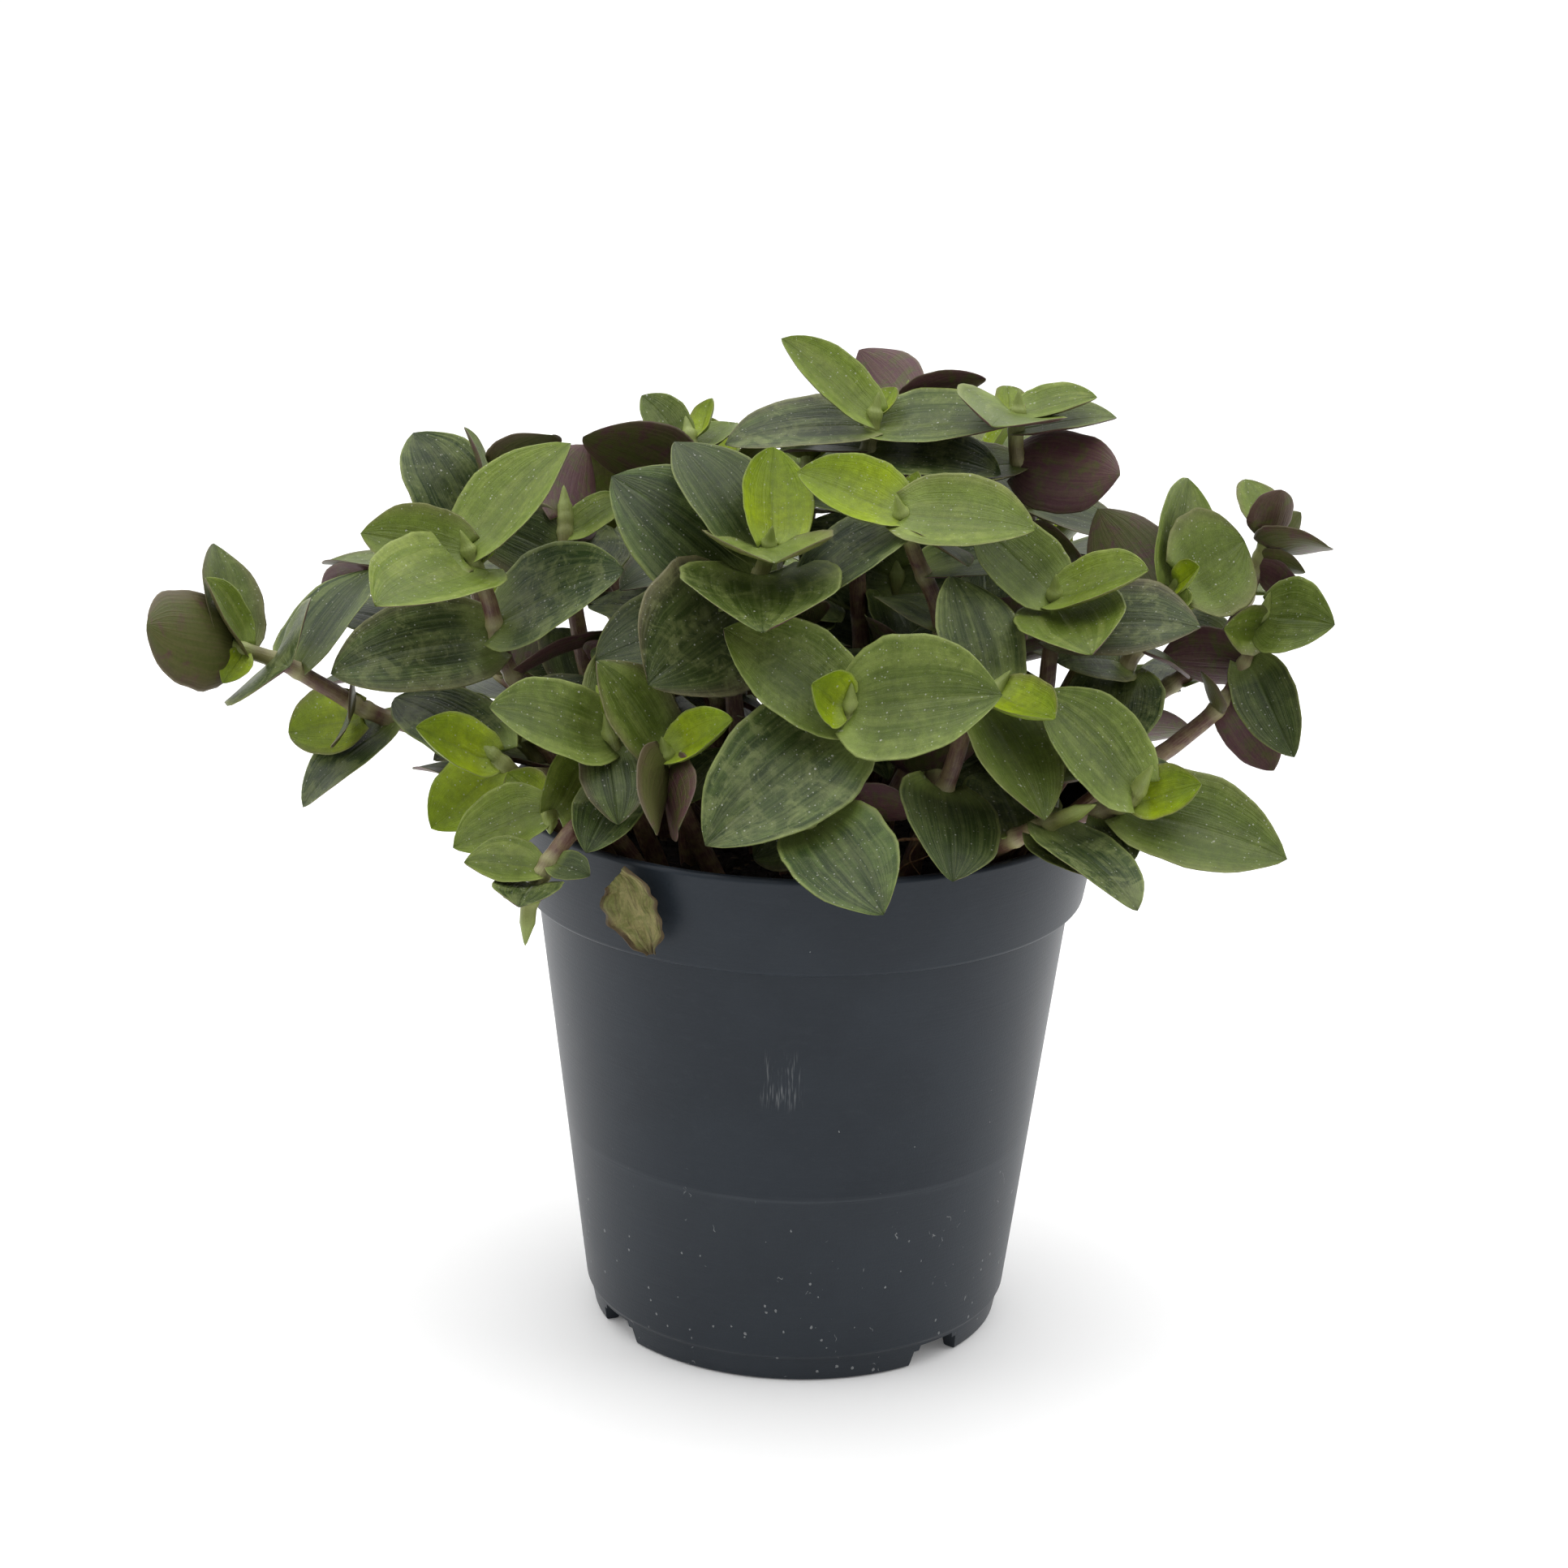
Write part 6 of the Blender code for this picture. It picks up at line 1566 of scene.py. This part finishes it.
def fine_withered(material):
    """The dried leaf that hangs over the lip: a crinkled sheet with curled edges and a broken tip."""
    path = Path(DEAD_LINE)
    rows, cols = 46, 21
    mid = np.zeros((rows, cols, 3))
    lf = np.zeros((rows, cols, 3))
    for k in range(rows):
        f = k / (rows - 1)
        s = path.length * f
        t = path.heading(s)
        g = f * (len(DEAD_HALF) - 1)
        i = min(int(g), len(DEAD_HALF) - 2)
        ff = g - i
        ff = ff * ff * (3 - 2 * ff)
        half = DEAD_HALF[i] + (DEAD_HALF[i + 1] - DEAD_HALF[i]) * ff
        p = path.place(s)
        out = vec(p.x, p.y, 0).normalized()
        side = t.cross(out).normalized()
        up = side.cross(t).normalized()
        for j in range(cols):
            v = 2 * j / (cols - 1) - 1
            reach = 1 + 0.06 * math.sin(13 * f + 2 * v) + 0.05 * math.sin(31 * f + 5 * v)
            high = (0.95 * abs(v) ** 2.2 + 0.22 * math.sin(6.5 * v + 7 * f) + 0.16 * math.sin(15 * v - 11 * f) + 0.22 * math.sin(19 * f + 3 * v) * abs(v)) * min(1.0, half / 2)
            mid[k, j] = np.array(p + side * (half * v * reach) + up * high)
            lf[k, j] = (f, v, 0.0)
    along, across = np.gradient(mid, axis=0), np.gradient(mid, axis=1)
    normal = np.cross(along, across)
    normal /= np.maximum(np.linalg.norm(normal, axis=2, keepdims=True), 1e-9)
    sheet = 0.11
    top, low = mid + normal * sheet, mid - normal * sheet
    verts = np.concatenate([top.reshape(-1, 3), low.reshape(-1, 3)])
    n = rows * cols
    at = lambda k, j: k * cols + j
    faces = []
    for k in range(rows - 1):
        for j in range(cols - 1):
            faces.append((at(k, j), at(k + 1, j), at(k + 1, j + 1), at(k, j + 1)))
            faces.append((n + at(k, j), n + at(k, j + 1), n + at(k + 1, j + 1), n + at(k + 1, j)))
    ring = [at(0, j) for j in range(cols)] + [at(k, cols - 1) for k in range(1, rows)] + [at(rows - 1, j) for j in range(cols - 2, -1, -1)] + [at(k, 0) for k in range(rows - 2, 0, -1)]
    for a, b in zip(ring, ring[1:] + ring[:1]):
        faces.append((a, b, n + b, n + a))
    mesh = Mesh()
    flat = lf.reshape(-1, 3)
    lp = np.stack([flat[:, 1] * 4.5, flat[:, 0] * path.length, 0 * flat[:, 0]], axis=-1)
    mesh.add(verts, faces, [0] * len(faces), np.concatenate([flat, flat]), np.concatenate([lp, lp]))
    obj = mesh.build("withered_leaf_fine", [material])
    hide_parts("withered_leaf")
    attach(obj, "root")


def strand(mesh, points, r0, r1, sides=8, kink=0.25, seed=1.0):
    """A thin crooked root or twig."""
    path = Path(points)
    n = max(8, int(path.length / 0.7))
    u = path.heading(0).orthogonal().normalized()
    verts = []
    for k in range(n + 1):
        s = path.length * k / n
        t = path.heading(s)
        u = (u - t * u.dot(t)).normalized()
        w = t.cross(u)
        r = (r0 + (r1 - r0) * k / n) * (1 + 0.18 * math.sin(2.3 * k + seed))
        off = u * (kink * r0 * math.sin(1.1 * k + seed)) + w * (kink * r0 * math.sin(0.7 * k + 2 * seed))
        for i in range(sides):
            a = 2 * math.pi * i / sides
            verts.append(tuple(path.place(s) + off + (u * math.cos(a) + w * math.sin(a)) * r))
    faces = []
    for k in range(n):
        for i in range(sides):
            j = (i + 1) % sides
            faces.append((k * sides + i, k * sides + j, (k + 1) * sides + j, (k + 1) * sides + i))
    faces += [tuple(range(sides))[::-1], tuple(n * sides + i for i in range(sides))]
    zero = [(0, 0, 0)] * len(verts)
    mesh.add(verts, faces, [0] * len(faces), zero, zero)


def fine_roots(material):
    for node, strands in ROOTS:
        mesh = Mesh()
        for k, (points, r0, r1) in enumerate(strands):
            strand(mesh, points, r0, r1, kink=0.8, seed=1.0 + k)
        obj = mesh.build(node + "_fine", [material])
        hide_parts(node)
        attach(obj, "root")


ROOTS = (
    ("dry_root_front", (
        (((10.5, -30.5, 78), (13, -30.5, 84), (16, -31, 85), (20, -31.5, 82), (21, -32, 79)), 0.30, 0.16),
        (((12, -31, 77), (14, -32, 81), (18.5, -33, 83.5), (23, -33.5, 84.2)), 0.16, 0.08),
        (((16, -31, 84.6), (15, -32.5, 82.5), (16.5, -33.5, 80)), 0.13, 0.07),
    )),
    ("dry_twig_right", (
        (((46.6, -24, 87.5), (49.5, -25, 85.5), (53.9, -26, 84)), 0.45, 0.28),
        (((49.5, -25, 85.5), (51.5, -25.8, 86.4), (54.5, -26.2, 86.2)), 0.2, 0.1),
    )),
)


# ---------------------------------------------------------------------------------------------
# Colours and light
# ---------------------------------------------------------------------------------------------

UPPER_DARK_A, UPPER_DARK_B = (0.016, 0.034, 0.005), (0.030, 0.047, 0.009)
UPPER_MID_A, UPPER_MID_B = (0.050, 0.086, 0.016), (0.076, 0.104, 0.026)
UPPER_PALE = (0.235, 0.272, 0.100)
# fresh and lime greens: the young leaves' own colour, painted brighter to stand in for light shining through them
UPPER_FRESH_A, UPPER_FRESH_B = (0.122, 0.172, 0.018), (0.225, 0.272, 0.056)
LIME_BASE, LIME_TIP, LIME_STRIPE = (0.29, 0.38, 0.006), (0.18, 0.255, 0.007), (0.10, 0.16, 0.004)
UPPER_RIB = (0.10, 0.13, 0.03)
UPPER_BASE = (0.20, 0.26, 0.06)
MARGIN_PALE, MARGIN_PURPLE = (0.24, 0.28, 0.085), (0.115, 0.065, 0.065)
# pale colour of the dust specks, also used for the painted glints
DUST_AND_GLINT = (0.62, 0.62, 0.56)
UPPER_ROUGH, UPPER_SPEC = 0.33, 0.26
UNDER_OLIVE, UNDER_PURPLE = (0.075, 0.082, 0.022), (0.092, 0.040, 0.046)
UNDER_VEIN, UNDER_YOUNG, UNDER_EDGE = (0.13, 0.10, 0.05), (0.18, 0.24, 0.03), (0.19, 0.16, 0.10)
STEM_PURPLE, STEM_OLIVE, STEM_LINE = (0.105, 0.048, 0.036), (0.17, 0.12, 0.055), (0.24, 0.17, 0.10)
STEM_NODE, STEM_TIP = (0.34, 0.33, 0.15), (0.25, 0.33, 0.07)
POT_A, POT_B, POT_C, POT_DUST, POT_SPECK = (0.0150, 0.0200, 0.0270), (0.0185, 0.0245, 0.0325), (0.0240, 0.0300, 0.0380), (0.062, 0.070, 0.080), (0.42, 0.43, 0.43)
POT_ROUGH, POT_SPEC = 0.34, 0.20
SOIL_A, SOIL_B, SOIL_FIBRE, SOIL_CHIP = (0.010, 0.0075, 0.0055), (0.032, 0.022, 0.015), (0.09, 0.055, 0.03), (0.16, 0.11, 0.06)
DEAD_OLIVE, DEAD_STRAW, DEAD_BROWN = (0.13, 0.14, 0.035), (0.24, 0.21, 0.08), (0.055, 0.030, 0.014)
ROOT_A, ROOT_B = (0.17, 0.085, 0.035), (0.30, 0.18, 0.09)
FLOOR_COLOUR, FLOOR_GLOW = (0.92, 0.92, 0.92), 0.09
WORLD_FRONT, WORLD_BACK, WORLD_TOP = 0.24, 1.0, 0.42
LAMPS = (
    ("softbox_top", (-0.02, 0.05, 1.00), (0.0, 0.0, 0.08), (1.3, 1.3), 7.0),
    ("softbox_left", (-0.95, -0.15, 0.45), (0.0, 0.0, 0.08), (0.5, 0.8), 1.6),
    ("softbox_right", (0.95, -0.15, 0.45), (0.0, 0.0, 0.08), (0.5, 0.8), 1.6),
)


def main():
    make_camera()
    make_light()
    pot_tree = tree_of(make_pot())
    soil_tree = tree_of(make_soil())
    dead_tree = tree_of(make_dead_leaf())
    plant = grow_plant(pot_tree, soil_tree, dead_tree)
    leaf_materials = [leaf_upper_material(), leaf_under_material(), stem_material()]
    for number, shoot in enumerate(plant.shoots):
        fine_shoot(shoot, number, leaf_materials)
        have = [v.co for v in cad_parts[shoot.name].data.vertices]
        for leaf, root, out in shoot.leaves:
            tip = (leaf_line(leaf, root, out, 1.0)[0] + Vector((AXIS_X, AXIS_Y, 0))) * 0.001
            if min((tip - q).length for q in have) > 2e-5:
                print("a leaf of", shoot.name, "isn't where the frame has it")
                break
    fine_pot(pot_material())
    fine_soil(soil_material())
    fine_withered(withered_material())
    fine_roots(root_material())


main()
